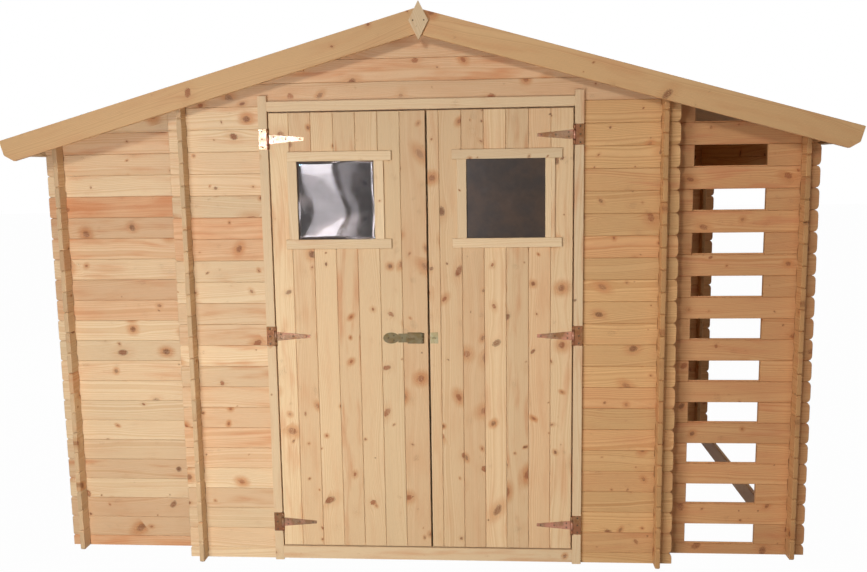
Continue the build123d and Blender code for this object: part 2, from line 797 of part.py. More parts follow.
with BuildPart() as hasp_flap:
    with BuildSketch(Plane.XZ.offset(-hasp_y)):
        with Locations((hasp_pin_x - flap_length / 2 - hasp_knuckle_radius / 2, hasp_height)):
            Rectangle(flap_length - hasp_knuckle_radius, flap_height)
        with Locations((hasp_pin_x - staple_reach, hasp_height)):
            slot_length = staple_tongue_length + 2 * slot_end_play
            slot_width = staple_tongue_thickness + 2 * slot_side_play
            Rectangle(slot_length, slot_width, mode=Mode.SUBTRACT)
    extrude(amount=hasp_metal)
    with BuildSketch(Plane.XY.offset(hasp_height - hasp_knuckle_height / 2 + knuckle_gap / 2)):
        with Locations((hasp_pin_x, hasp_y)):
            Circle(hasp_knuckle_radius)
        with Locations((hasp_pin_x - hasp_knuckle_radius, hasp_y - hasp_metal / 2)):
            Rectangle(2 * hasp_knuckle_radius, hasp_metal)
    extrude(amount=hasp_knuckle_height - knuckle_gap)
    with BuildSketch(Plane.XY.offset(hasp_height - hasp_knuckle_height)):
        with Locations((hasp_pin_x, hasp_y)):
            Circle(hasp_pin_radius + hasp_pin_fit)
    extrude(amount=2 * hasp_knuckle_height, mode=Mode.SUBTRACT)
keep(hasp_flap.part, "hasp_flap")

with BuildPart() as hasp_staple:
    with BuildSketch(Plane.XZ.offset(-leaf_face)):
        with Locations((staple_plate_middle, hasp_height)):
            Rectangle(staple_plate_width, hasp_plate_height)
    extrude(amount=staple_plate_metal)
    with BuildSketch(Plane.XY.offset(hasp_height - staple_tongue_thickness / 2)):
        with Locations((staple_plate_middle, leaf_face - staple_tongue_projection / 2)):
            Rectangle(staple_tongue_length, staple_tongue_projection)
        with Locations((staple_plate_middle, leaf_face - staple_eye_projection)):
            Circle(staple_eye_diameter / 2, mode=Mode.SUBTRACT)
    extrude(amount=staple_tongue_thickness)
keep(hasp_staple.part, "hasp_staple")
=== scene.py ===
# %% [markdown]
# # A timber shed with a log store, dressed around its CAD model
#
# The shed is built the way a log cabin is: planed boards with tongues and grooves lie in courses, cross at
# the corners and stand out past them as rounded ears. The CAD model gives each wall as one solid. Here each
# wall becomes its boards, because the shadow lines between boards, their chamfers and their changing colour
# are what the eye reads first. Every measure is in millimetres until it becomes a mesh, except that the
# camera, the lamps and the studio floor are placed in metres.

from math import ceil, cos, exp, pi, radians, sin, sqrt
from random import Random

import bmesh
import bpy
from mathutils import Matrix, Vector


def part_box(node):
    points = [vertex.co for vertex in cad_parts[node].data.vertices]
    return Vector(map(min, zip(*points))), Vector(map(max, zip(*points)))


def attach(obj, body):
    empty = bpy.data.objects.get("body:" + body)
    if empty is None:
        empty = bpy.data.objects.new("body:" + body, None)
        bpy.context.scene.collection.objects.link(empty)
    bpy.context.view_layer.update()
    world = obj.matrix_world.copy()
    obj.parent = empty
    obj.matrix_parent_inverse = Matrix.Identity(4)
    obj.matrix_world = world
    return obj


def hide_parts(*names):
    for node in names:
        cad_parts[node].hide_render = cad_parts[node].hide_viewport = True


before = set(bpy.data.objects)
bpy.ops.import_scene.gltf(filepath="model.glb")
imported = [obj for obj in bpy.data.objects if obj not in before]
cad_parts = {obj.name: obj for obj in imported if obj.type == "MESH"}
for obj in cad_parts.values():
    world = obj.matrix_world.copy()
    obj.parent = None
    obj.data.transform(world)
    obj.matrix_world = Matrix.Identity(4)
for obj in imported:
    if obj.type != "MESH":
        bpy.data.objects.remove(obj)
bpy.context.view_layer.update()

# %% [markdown]
# ## Measures shared by the boards
#
# A wall board covers 88 mm and is 19 mm thick. Walls that run left to right start with half a board, and
# walls that run front to back with a whole one, so that their boards can cross. The slopes cut all of them
# off. GROOVE is a board's chamfer, GAP and LIP are how wide and how deep a joint is open down to the
# tongue, and a nick is the notch between two rounded ears, with its depth and half its height. MAIN, END
# and BAY are how far out walls stand: the main room's, the end walls and those of the two shallower bays.

# %% Measures
MM = 0.001
COVER = 88.0
TONGUE = 6.0
TONGUE_THICKNESS = 6.0
WALL = 19.0
GROOVE = 1.9
GAP = 0.35
LIP = 5.0
SMALL_NICK = (9.5, 8.5)
LARGE_NICK = (15.5, 21.0)
PITCH = radians(15.7)
RIDGE = 2214.0
MAIN_X = 950.0
END_X = 1519.0
MAIN_Y = 942.0 - WALL / 2
BAY_Y = 840.0 - WALL / 2
HINGE_HEIGHTS = [170.0, 966.0, 1762.0]
HANDS = (("left", -1), ("right", 1))
X, Y, Z = Vector((1, 0, 0)), Vector((0, 1, 0)), Vector((0, 0, 1))


def slope_ways(side):
    """The ways down a slope of the roof and square out of it."""
    return Vector((side * cos(PITCH), 0, -sin(PITCH))), Vector((side * sin(PITCH), 0, cos(PITCH)))


def measure(node):
    """The CAD node's lowest and highest corners, in millimetres."""
    low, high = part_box(node)
    return low / MM, high / MM


print("side wall:", [round(v) for corner in measure("right_partition") for v in corner])

# %% [markdown]
# ## Shader helpers
#
# A node tree gets long if every node takes four lines. The two small classes below add nodes and feed their
# sockets with values or with other nodes' outputs. Outputs can be added, multiplied and so on, each time
# with one more Math node, so that a material reads like arithmetic.

# %% A short way to write node trees
def screen_colour(red, green, blue):
    """A colour as it looks on screen, 0 to 255, turned into the linear one that shaders use."""
    values = [v / 255 for v in (red, green, blue)]
    linear = [v / 12.92 if v <= 0.04045 else ((v + 0.055) / 1.055) ** 2.4 for v in values]
    return (*linear, 1.0)


class Wire:
    """A node's output that can be reckoned with."""

    def __init__(self, nodes, socket):
        self.nodes, self.socket = nodes, socket

    def __add__(self, other):
        return self.nodes.math("ADD", self, other)

    def __sub__(self, other):
        return self.nodes.math("SUBTRACT", self, other)

    def __mul__(self, other):
        return self.nodes.math("MULTIPLY", self, other)

    def __truediv__(self, other):
        return self.nodes.math("DIVIDE", self, other)

    def __pow__(self, other):
        return self.nodes.math("POWER", self, other)


class Nodes:
    """Adds nodes to one tree and feeds their sockets."""

    def __init__(self, tree):
        self.tree = tree

    def feed(self, socket, value):
        """Links an output to a socket, or sets its value. A colour of three numbers is as on screen."""
        if isinstance(value, Wire):
            value = value.socket
        if isinstance(value, bpy.types.NodeSocket):
            self.tree.links.new(value, socket)
        elif socket.type == "RGBA" and len(value) == 3:
            socket.default_value = screen_colour(*value)
        else:
            socket.default_value = value

    def add(self, kind, sockets=(), **settings):
        node = self.tree.nodes.new(kind)
        for name, value in settings.items():
            setattr(node, name, value)
        for name, value in dict(sockets).items():
            self.feed(node.inputs[name], value)
        return node

    def out(self, kind, sockets=(), output=0, **settings):
        return Wire(self, self.add(kind, sockets, **settings).outputs[output])

    def math(self, operation, *values, clamp=False):
        sockets = dict(enumerate(values))
        return self.out("ShaderNodeMath", sockets, operation=operation, use_clamp=clamp)

    def ramp(self, value, low, high, to_low=0.0, to_high=1.0, smooth=True):
        sockets = dict(enumerate((value, low, high, to_low, to_high)))
        kind = "SMOOTHSTEP" if smooth else "LINEAR"
        return self.out("ShaderNodeMapRange", sockets, interpolation_type=kind)

    def mix(self, share, first, second, blend="MIX"):
        sockets = {"Factor": share, "A": first, "B": second}
        return self.out("ShaderNodeMix", sockets, "Result", data_type="RGBA", blend_type=blend)

    def vector(self, x=0.0, y=0.0, z=0.0):
        return self.out("ShaderNodeCombineXYZ", {"X": x, "Y": y, "Z": z})

    def parts(self, vector):
        separate = self.add("ShaderNodeSeparateXYZ", {"Vector": vector})
        return [Wire(self, socket) for socket in separate.outputs]

    def noise(self, vector, scale=1.0, detail=2.0, roughness=0.5):
        sockets = {"Vector": vector, "Scale": scale, "Detail": detail, "Roughness": roughness}
        return self.out("ShaderNodeTexNoise", sockets, "Fac")

    def attribute(self, name, output="Fac"):
        return self.out("ShaderNodeAttribute", output=output, attribute_name=name)

    def object_place(self):
        return self.out("ShaderNodeTexCoord", output="Object")

    def number(self, kind, sockets):
        """The one output that is in use of a node with an output for each kind of data."""
        node = self.add(kind, sockets, data_type="FLOAT")
        return next(socket for socket in node.outputs if socket.enabled)


def new_group(name, tree_kind, inputs, outputs):
    """A node group with named sockets: its nodes, what it is given and what it has to put out."""
    tree = bpy.data.node_groups.new(name, tree_kind)
    for label, kind, *default in inputs:
        socket = tree.interface.new_socket(label, in_out="INPUT", socket_type=f"NodeSocket{kind}")
        for value in default:
            socket.default_value = screen_colour(*value) if kind == "Color" else value
    for label, kind in outputs:
        tree.interface.new_socket(label, in_out="OUTPUT", socket_type=f"NodeSocket{kind}")
    nodes = Nodes(tree)
    given = {socket.name: Wire(nodes, socket) for socket in nodes.add("NodeGroupInput").outputs}
    return nodes, given, nodes.add("NodeGroupOutput").inputs


def new_material(name, shader_values):
    """A new material, its shader with the values given, and its nodes."""
    material = bpy.data.materials.new(name)
    material.use_nodes = True
    shader = next(node for node in material.node_tree.nodes if node.type == "BSDF_PRINCIPLED")
    for label, value in shader_values.items():
        shader.inputs[label].default_value = value
    return material, shader, Nodes(material.node_tree)


# %% [markdown]
# ## Pine
#
# Pine shows pale spring wood between darker rings, knots with the rings flowing round them, and a share of
# redder boards. All of it comes from one solid: rings are circles round a pith that lies behind the board,
# and a board is a cut through them. The pattern reads the board's own coordinates, which every board
# carries in the attribute `grain` (along, through, across), so two boards never continue each other.
# `board` is the board's own random number, `tone` says how red it is, and `end_grain` marks the sawn ends.
# The colours and the numbers of knots are the group's inputs, so that every pine material can share it.

# %% The pine group: where the knots are
pine_inputs = [
    ("Pale wood", "Color", (234, 205, 165)),
    ("Ring wood", "Color", (208, 162, 112)),
    ("Red wood", "Color", (212, 150, 104)),
    ("Knot wood", "Color", (152, 88, 52)),
    ("Ring width", "Float", 4.2),
    ("Ring strength", "Float", 1.0),
    ("Knot share", "Float", 0.55),
    ("Knot spacing", "Float", 300.0),
    ("Knot radius", "Float", 11.0),
    ("Pin share", "Float", 0.16),
]
surface_outputs = [("Color", "Color"), ("Roughness", "Float"), ("Height", "Float")]
n, given, wanted = new_group("pine boards", "ShaderNodeTree", pine_inputs, surface_outputs)
grain = {0: n.attribute("grain", "Vector"), 1: (1 / MM, 1 / MM, 1 / MM)}
along, through, across = n.parts(n.out("ShaderNodeVectorMath", grain, operation="MULTIPLY"))
board = n.attribute("board")
chances = n.out("ShaderNodeTexWhiteNoise", {"W": board * 977.0}, "Color", noise_dimensions="1D")
chance_a, chance_b, chance_c = n.parts(chances)
along = along + board * 9173.0


def knots(spacing, lane, share, largest, smallest, shift):
    """One layer of knots, with one in each cell at most.

    It gives three masks, the distance from the knot, two chances, and how far the rings are pushed aside.
    """
    cell_x = along / spacing + shift
    cell_z = across / lane + chance_a * 50.0
    sockets = {"Vector": n.vector(cell_x, cell_z), "Scale": 1.0}
    cells = n.add("ShaderNodeTexVoronoi", sockets, voronoi_dimensions="2D").outputs
    middle_x, middle_z, _ = n.parts(cells["Position"])
    size, chance, dark = n.parts(cells["Color"])
    x = (cell_x - middle_x) * spacing
    z = (cell_z - middle_z) * lane
    more = n.out("ShaderNodeTexWhiteNoise", {"Vector": cells["Position"]}, "Color", noise_dimensions="3D")
    lean, stretch, red = n.parts(more)
    there = n.math("LESS_THAN", chance, share)
    radius = n.ramp(size, 0.15, 1, smallest, largest, smooth=False) * there
    turn = (lean - 0.5) * 2.6
    cosine, sine = n.math("COSINE", turn), n.math("SINE", turn)
    longways = (x * cosine + z * sine) * n.ramp(stretch, 0, 1, 0.5, 1.0, smooth=False)
    sideways = z * cosine - x * sine
    away = n.math("SQRT", longways ** 2 + sideways ** 2)
    wobble = n.noise(n.vector(x, z, size * 40.0), scale=0.2)
    away = away + (wobble - 0.5) * (radius * 0.9)
    inside = n.ramp(away, radius * 0.7, radius * 1.05 + 0.01, 1, 0)
    halo = n.ramp(away, radius, radius * 3.6 + 0.01, 1, 0)
    rim = n.ramp(n.math("ABSOLUTE", away - radius), 0.3, 2.0, 1, 0)
    flow = (x / 2.6) ** 2 + z ** 2
    reach = (radius * 1.9) ** 2 + 0.01
    pull = n.math("EXPONENT", flow / reach * -1.0)
    return [mask * there for mask in (inside, halo, rim)], away, dark, red, z * pull


large = knots(given["Knot spacing"], COVER, given["Knot share"], given["Knot radius"], 5.0, 0.0)
small = knots(140.0, 44.0, given["Pin share"], 4.2, 1.6, 31.0)

# %% [markdown]
# ### Rings and colour
#
# The rings are the distance from the pith, made uneven and repeated, and a knot pushes them aside. The late
# wood of a ring is darker. The knots, their dark rims and the red that spreads from them lie over the
# rings. A board's random number times any large number moves the pattern on, so that no two boards are
# alike.

# %% The pine group: rings that flow round the knots
ring_z = across - large[-1] - small[-1]
slow = n.noise(n.vector(along / 850.0, board * 61.0), detail=1.0)
quick = n.noise(n.vector(along / 150.0, board * 37.0))
ring_z = ring_z + (slow - 0.5) * 120.0 + (quick - 0.5) * 9.0 + (chance_c - 0.5) * 110.0
ring_y = through + (chance_b * 60.0 + 22.0)
distance = n.math("SQRT", ring_y ** 2 + ring_z ** 2)
uneven = n.noise(n.vector(distance / 17.0, board * 13.0))
place = n.math("FRACT", distance / given["Ring width"] + uneven * 2.2)
late = n.ramp(place, 0.25, 0.85) * n.ramp(place, 0.9, 1.0, 1, 0) * given["Ring strength"]

# %% The pine group: colour, roughness and height
fibre = n.noise(n.vector(along / 26.0, through * 0.7, ring_z * 0.7), detail=3.0, roughness=0.6)
patch = n.noise(n.vector(along / 230.0, ring_z / 34.0, board * 91.0))
red_share = n.ramp(patch, 0.48, 0.76) * n.ramp(chance_a, 0.3, 1.0, 0.15, 0.7)
toned = n.attribute("tone") * n.ramp(patch, 0.2, 0.7, 0.65, 1.0)
red_share = n.math("ADD", red_share, toned, clamp=True)
colour = n.mix(late * n.ramp(fibre, 0.2, 0.8, 0.3, 0.62), given["Pale wood"], given["Ring wood"])
reddish = n.mix(late * 0.45, given["Red wood"], (196, 120, 72))
colour = n.mix(red_share, colour, reddish)
shade = n.ramp(chance_b, 0, 1, 0.89, 1.05) * n.ramp(fibre, 0.2, 0.8, 0.93, 1.04)
for (inside, halo, rim), away, dark, red, _ in (large, small):
    glow = halo * n.ramp(red, 0.1, 0.9, 0.15, 0.95)
    colour = n.mix(glow, colour, (202, 138, 88))
    core = n.mix(n.ramp(dark, 0.25, 1.0, 0.0, 0.85), given["Knot wood"], (92, 54, 32))
    bands = n.ramp(n.math("SINE", away * 2.4), -1, 1, 0.0, 0.28)
    colour = n.mix(inside * 0.92, colour, n.mix(bands, core, given["Red wood"]))
    edge = rim * n.ramp(dark, 0.3, 1.0, 0.05, 0.55)
    colour = n.mix(edge, colour, (98, 58, 34))
ends = n.attribute("end_grain")
colour = n.mix(ends * 0.34, colour, given["Ring wood"])
shade = shade * n.ramp(ends, 0, 1, 1.0, 0.88)
n.feed(wanted["Color"], n.mix(1.0, colour, n.vector(shade, shade, shade), blend="MULTIPLY"))
n.feed(wanted["Roughness"], n.ramp(fibre, 0.2, 0.8, 0.52, 0.66))
large_rim = large[0][2]
n.feed(wanted["Height"], fibre * 0.5 + late * 0.35 + large_rim * -0.5)
pine_group = n.tree
print("pine group:", len(pine_group.nodes), "nodes")

# %% [markdown]
# ### The pine materials
#
# Door boards have weaker rings than walls, planed trim has few knots and narrow rings, and barge boards
# have large knots far apart. The right half of the front and the log store take a warmer, more orange
# copy of the wall pine, which is painted shade for the weaker light on that side.

# %% Pine materials: wall boards, door boards, planed trim, roof and floor
def group_material(name, group, values, bump, shader_values):
    """A material whose colour, roughness and bump come from a shared group. Colours are as on screen."""
    material, shader, nodes = new_material(name, shader_values)
    source = nodes.add("ShaderNodeGroup", node_tree=group)
    for label, value in values.items():
        nodes.feed(source.inputs[label], value)
    for label, output in (("Base Color", "Color"), ("Roughness", "Roughness")):
        nodes.feed(shader.inputs[label], source.outputs[output])
    sockets = {"Strength": bump, "Distance": 0.0006, "Height": source.outputs["Height"]}
    nodes.feed(shader.inputs["Normal"], nodes.out("ShaderNodeBump", sockets))
    return material


def pine(name, values, bump=0.5):
    """Pine with knots, rings and colours of its own."""
    return group_material(f"{name}_pine", pine_group, values, bump, {"Specular IOR Level": 0.35})


wall_values = {"Knot share": 0.5, "Knot spacing": 260.0, "Knot radius": 14.0, "Ring strength": 1.0}
# A warmer, more orange copy of the wall pine: painted shade for the weaker light on the right and in the log
# store.
right_shade_values = {**wall_values, "Knot share": 0.6, "Ring strength": 1.2}
right_shade_values |= {"Pale wood": (226, 182, 128), "Ring wood": (188, 130, 74)}
door_values = {"Knot share": 0.52, "Knot spacing": 240.0, "Knot radius": 14.0, "Pin share": 0.2}
door_values |= {"Ring strength": 0.85, "Pale wood": (234, 203, 160)}
trim_values = {"Knot share": 0.22, "Knot radius": 8.0, "Ring width": 3.6, "Ring strength": 0.7}
barge_values = {"Knot share": 0.75, "Knot spacing": 480.0, "Knot radius": 15.0, "Pin share": 0.12}
barge_values |= {"Ring width": 3.0, "Ring strength": 1.3, "Pale wood": (228, 186, 134)}
wall_pine = pine("wall", wall_values)
right_shade_pine = pine("right_shade", right_shade_values)
door_pine = pine("door", door_values)
trim_pine = pine("trim", trim_values, bump=0.4)
barge_pine = pine("barge", barge_values, bump=0.4)
roof_pine = pine("roof", {"Knot share": 0.5, "Knot spacing": 380.0})
floor_pine = pine("floor", {"Knot share": 0.5, "Knot spacing": 300.0})
print("pine materials:", sorted(material.name for material in bpy.data.materials if "pine" in material.name))

# %% [markdown]
# ## From an outline to a board
#
# A planed board is an outline with a thickness, and its long edges are chamfered, which makes the V between
# two boards. The prism below is made of rings of points: the faces are drawn in by the chamfer, and the
# edges aren't. Each point also stores where it is in the board, for the pine.

# %% One board
def drawn_in(outline, amount):
    """The outline moved inwards by an amount, with mitred corners. It runs counter-clockwise."""
    points = [Vector(point) for point in outline]
    moved = []
    for index, here in enumerate(points):
        before, after = points[index - 1], points[(index + 1) % len(points)]
        first, second = (here - before).normalized(), (after - here).normalized()
        first, second = Vector((-first.y, first.x)), Vector((-second.y, second.x))
        moved.append(here + (first + second) * (amount / max(0.2, 1 + first.dot(second))))
    return moved


def new_pieces():
    """An empty mesh in the making, with the layers that the pine reads."""
    bm = bmesh.new()
    bm.verts.layers.float_vector.new("grain")
    bm.verts.layers.float.new("board")
    bm.verts.layers.float.new("tone")
    bm.faces.layers.float.new("end_grain")
    return bm


def mark_grain(bm, verts, faces, along, depth, board, tone):
    """Stores each point's place in its board, and how square each face is to the grain."""
    grain, number = bm.verts.layers.float_vector["grain"], bm.verts.layers.float["board"]
    redness, ends = bm.verts.layers.float["tone"], bm.faces.layers.float["end_grain"]
    along = along.normalized()
    if abs(along.dot(depth)) > 0.9:
        depth = Y if abs(along.y) < 0.9 else X
    across = along.cross(depth).normalized()
    middle = sum((vert.co for vert in verts), Vector()) / len(verts)
    for vert in verts:
        place = vert.co - middle
        vert[grain] = (place.dot(along), place.dot(depth), place.dot(across))
        vert[number], vert[redness] = board, tone
    for face in faces:
        face.normal_update()
        face[ends] = abs(face.normal.dot(along)) ** 2


def join_rings(bm, lower, upper):
    """The band of faces between two rings that have as many points."""
    faces = []
    for index in range(len(lower)):
        after = (index + 1) % len(lower)
        faces.append(bm.faces.new((lower[index], lower[after], upper[after], upper[index])))
    return faces


def add_prism(bm, outline, plane, depth, along, chamfer=GROOVE, gap=0.0, board=0.0, tone=0.0, heart=None):
    """A chamfered board. plane is its origin and its two outline axes; depth is its thickness as a vector.

    gap is by how much the board stops short of its neighbour down to the tongue, on both faces. heart is the
    way to the middle of the tree, which is the way of the depth unless it is given.
    """
    origin, first, second = plane
    area = sum(a[0] * b[1] - b[0] * a[1] for a, b in zip(outline, outline[1:] + outline[:1]))
    outline = [Vector(point) for point in (outline if area > 0 else outline[::-1])]
    step = [(gap, chamfer), (gap, LIP), (0.0, LIP)] if gap else [(0.0, chamfer)]
    profile = [(chamfer + gap, 0.0)] + step
    profile += [(inset, depth.length - start) for inset, start in reversed(profile)]
    rings = []
    for inset, start in profile:
        corners = drawn_in(outline, inset) if inset else outline
        shift = depth.normalized() * start
        rings.append([bm.verts.new((origin + first * p.x + second * p.y + shift) * MM) for p in corners])
    faces = [bm.faces.new(rings[0][::-1]), bm.faces.new(rings[-1])]
    for lower, upper in zip(rings, rings[1:]):
        faces += join_rings(bm, lower, upper)
    verts = [vert for ring in rings for vert in ring]
    mark_grain(bm, verts, faces, along, heart or depth.normalized(), board, tone)


def upright(y, z=0.0):
    """An upright plane that faces the front: its origin and its two axes."""
    return Vector((0, y, z)), X, Z


def rectangle(left, low, right, high):
    """The four corners, counter-clockwise."""
    return [(left, low), (right, low), (right, high), (left, high)]


def new_object(name, data):
    """A new object in the scene."""
    thing = bpy.data.objects.new(name, data)
    bpy.context.scene.collection.objects.link(thing)
    return thing


def made(name, bm, material):
    """The finished mesh as an object, facing outwards."""
    bmesh.ops.recalc_face_normals(bm, faces=bm.faces)
    mesh = bpy.data.meshes.new(name)
    bm.to_mesh(mesh)
    bm.free()
    mesh.materials.append(material)
    return new_object(name, mesh)


def settle(piece, body, slot, *nodes):
    """Lets a piece ride on its body in place of its CAD nodes."""
    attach(piece, body)
    if nodes:
        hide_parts(*nodes)
    print(piece.name, len(piece.data.polygons), "faces")
    return piece


def number_of(name):
    """A board's own random number, the same in every run."""
    return Random(name).random()


# %% [markdown]
# ## Courses of boards
#
# A wall is one board repeated upwards, so Geometry Nodes lay it: a line of points, one board on each, a
# small random slide along its length, and a random number stored per board before the copies are made real.

# %% The tree that lays courses
course_inputs = [("Board", "Geometry"), ("Courses", "Int"), ("Step", "Vector"), ("Slide", "Vector")]
course_inputs += [("Seed", "Int"), ("Material", "Material")]
course_outputs = [("Wall", "Geometry")]
n, given, wanted = new_group("boards in courses", "GeometryNodeTree", course_inputs, course_outputs)
line = n.out("GeometryNodeMeshLine", {"Count": given["Courses"], "Offset": given["Step"]})
boards = n.out("GeometryNodeInstanceOnPoints", {"Points": line, "Instance": given["Board"]})
back = n.out("ShaderNodeVectorMath", {0: given["Slide"], 1: (-1, -1, -1)}, operation="MULTIPLY")
limits = {0: back, 1: given["Slide"], "Seed": given["Seed"]}
slide = n.out("FunctionNodeRandomValue", limits, data_type="FLOAT_VECTOR")
boards = n.out("GeometryNodeTranslateInstances", {"Instances": boards, "Translation": slide})
drawn = n.number("FunctionNodeRandomValue", {"Seed": given["Seed"]})
stored = {"Geometry": boards, "Name": "course", "Value": drawn}
boards = n.out("GeometryNodeStoreNamedAttribute", stored, domain="INSTANCE")
boards = n.out("GeometryNodeRealizeInstances", {"Geometry": boards})
stored = {"Geometry": boards, "Name": "board"}
stored["Value"] = n.number("GeometryNodeInputNamedAttribute", {"Name": "course"})
boards = n.out("GeometryNodeStoreNamedAttribute", stored, domain="POINT")
boards = n.out("GeometryNodeSetMaterial", {"Geometry": boards, "Material": given["Material"]})
n.feed(wanted["Wall"], boards)
course_tree = n.tree
print("course tree:", len(course_tree.nodes), "nodes")


def run_tree(bm, tree, values):
    """Runs a tree on a mesh in the making and gives the plain result."""
    piece = made("blank", bm, values["Material"])
    modifier = piece.modifiers.new("courses", "NODES")
    modifier.node_group = tree
    for item in tree.interface.items_tree:
        if item.in_out == "INPUT" and item.name in values:
            modifier[item.identifier] = values[item.name]
    graph = bpy.context.evaluated_depsgraph_get()
    mesh = bpy.data.meshes.new_from_object(piece.evaluated_get(graph))
    bpy.data.objects.remove(piece)
    return mesh


def in_courses(bm, count, step, seed, material, slide=Vector()):
    """Courses of the board in the making. Its step and its slide are in millimetres."""
    values = {"Courses": count, "Step": step * MM, "Slide": slide * MM, "Seed": seed, "Material": material}
    return run_tree(bm, course_tree, values)


# %% [markdown]
# ### One wall board, and the cuts that end a wall
#
# A board ends in a rounded ear, and it is notched above and below wherever another wall crosses it, so that
# the two interlock. Its outline is drawn once per wall. Planes then cut the courses off at the slopes of
# the roof and at the wall's own ends, which is simpler than drawing each short board.

# %% Boards of a wall, and the cuts that end it
NOTCH_PLAY = 0.2
SLIDE = 0.9


def rounded_end(tip, inward, nick):
    """Points up a board's rounded end. nick is how deep the nick between two ends is, and half its height."""
    depth, half = nick
    lower = []
    for share in (0.0, 0.12, 0.35, 0.65, 1.0):
        hollow = depth * (1 - sqrt(1 - (1 - share) ** 2))
        lower.append((tip + inward * hollow, half * share))
    return lower + [(x, COVER - z) for x, z in reversed(lower)]


def wall_board(left, right, ears, crossings, nicks=(SMALL_NICK, SMALL_NICK)):
    """Outline of a wall board, seen square on: rounded ears, and notches where other walls cross it."""
    half, deep = WALL / 2 + NOTCH_PLAY, COVER / 4
    bottom = []
    for c in sorted(crossings):
        bottom += [(c - half, 0.0), (c - half, deep), (c + half, deep), (c + half, 0.0)]
    top = [(x, COVER - z) for x, z in reversed(bottom)]
    left_end = rounded_end(left, 1, nicks[0]) if ears[0] else [(left, 0.0), (left, COVER)]
    right_end = rounded_end(right, -1, nicks[1]) if ears[1] else [(right, 0.0), (right, COVER)]
    return bottom + right_end + top + left_end[::-1]


def cut_off(bm, place, outward):
    """Cuts away what lies outward of a plane and closes the boards that it cuts."""
    plane = {"dist": 1e-6, "plane_co": place, "plane_no": outward, "clear_outer": True}
    cut = bmesh.ops.bisect_plane(bm, geom=bm.verts[:] + bm.edges[:] + bm.faces[:], **plane)
    edges = [item for item in cut["geom_cut"] if isinstance(item, bmesh.types.BMEdge) and item.is_boundary]
    if edges:
        bmesh.ops.edgeloop_fill(bm, edges=edges)


def lay(outline, along, face, first, count, seed, step=COVER):
    """Courses of one board along X or Y. Its thickness starts at face, and its lowest edge is at first."""
    bm = new_pieces()
    through = Y if along == X else X
    plane = (through * face + Z * first, along, Z)
    add_prism(bm, outline, plane, through * WALL, along, gap=GAP)
    return in_courses(bm, count, Z * step, seed, wall_pine, along * SLIDE)


def wall(name, node, meshes, low, high, red_boards=(), warmth=0.0, wood=wall_pine):
    """Joins courses into one piece, cuts it off at its ends and reddens some boards. Its warmth reddens every
    board, which on the log store and the right side is painted shade.
    """
    bm = new_pieces()
    for mesh in meshes:
        bm.from_mesh(mesh)
        bpy.data.meshes.remove(mesh)
    number, redness = bm.verts.layers.float["board"], bm.verts.layers.float["tone"]
    heights = {}
    for vert in bm.verts:
        heights.setdefault(round(vert[number], 5), []).append(vert.co.z / MM)
    middles = {board: sum(own) / len(own) for board, own in heights.items()}
    for vert in bm.verts:
        middle = middles[round(vert[number], 5)]
        vert[redness] = warmth + sum(amount for z, amount in red_boards if abs(z - middle) < COVER / 2)
    cut_off(bm, Z * low * MM, -Z)
    cut_off(bm, Z * high * MM, Z)
    for _, side in HANDS:
        cut_off(bm, Z * RIDGE * MM, slope_ways(side)[1])
    settle(made(name, bm, wood), "shed", "wall_boards", node)


# %% [markdown]
# ## The walls
#
# Each wall takes its place from its CAD node. The two walls of each kind differ only in where they stand
# and in which boards are red. The lists say how red, by the height of a board's middle.

# %% Walls that run left to right
EAR_GAP = 1.0


def span(low, high, ears):
    """Where a wall's boards start and end. An ear stops a little short of the CAD box."""
    return low + EAR_GAP * ears[0], high - EAR_GAP * ears[1]


def raise_wall(node, board, along, face, first, seed, looks):
    """Lays a wall's courses in place of its node."""
    low, high = measure(node)
    mesh = lay(board, along, face, first, ceil((high.z - first) / COVER), seed)
    wall(f"{node}_boards", node, [mesh], low.z, high.z, **looks)


def run_across(node, ears, crossings, seed, **looks):
    """A left-to-right wall in place of its node. Its courses lie half a board higher or lower."""
    low, high = measure(node)
    first = COVER / 2 + COVER * round((low.z - COVER) / COVER) if low.z > COVER else -COVER / 2
    board = wall_board(*span(low.x, high.x, ears), ears, crossings, (SMALL_NICK, LARGE_NICK))
    raise_wall(node, board, X, low.y, first, seed, looks)


both, both_sides = (True, True), [-MAIN_X, MAIN_X]
left_reds = [(1672, 0.15), (1584, 0.15), (1408, 0.7), (1320, 0.55), (1056, 0.2), (968, 0.3), (792, 0.15)]
left_reds += [(704, 0.25), (616, 0.35), (528, 0.5), (440, 0.3), (264, 0.25), (88, 0.2)]
right_reds = [(1584, 0.15), (1320, 0.45), (704, 0.4), (528, 0.3), (352, 0.3), (88, 0.3)]
# The right front gets the warmer wood and a little red: painted shade for its weaker light.
right_looks = {"red_boards": right_reds, "warmth": 0.03, "wood": right_shade_pine}
back_reds = [(792, 0.5), (1584, 0.4), (1144, 0.2)]
# The top board's red, at 1760, is partly its own tone and partly painted shadow.
side_reds = [(1760, 0.35), (1672, 0.15), (1496, 0.9), (1408, 0.4), (1320, 0.35), (1232, 0.1), (1144, 0.45)]
side_reds += [(1056, 0.5), (792, 0.15), (440, 0.12), (352, 0.3), (176, 0.4), (88, 0.3), (22, 0.8)]
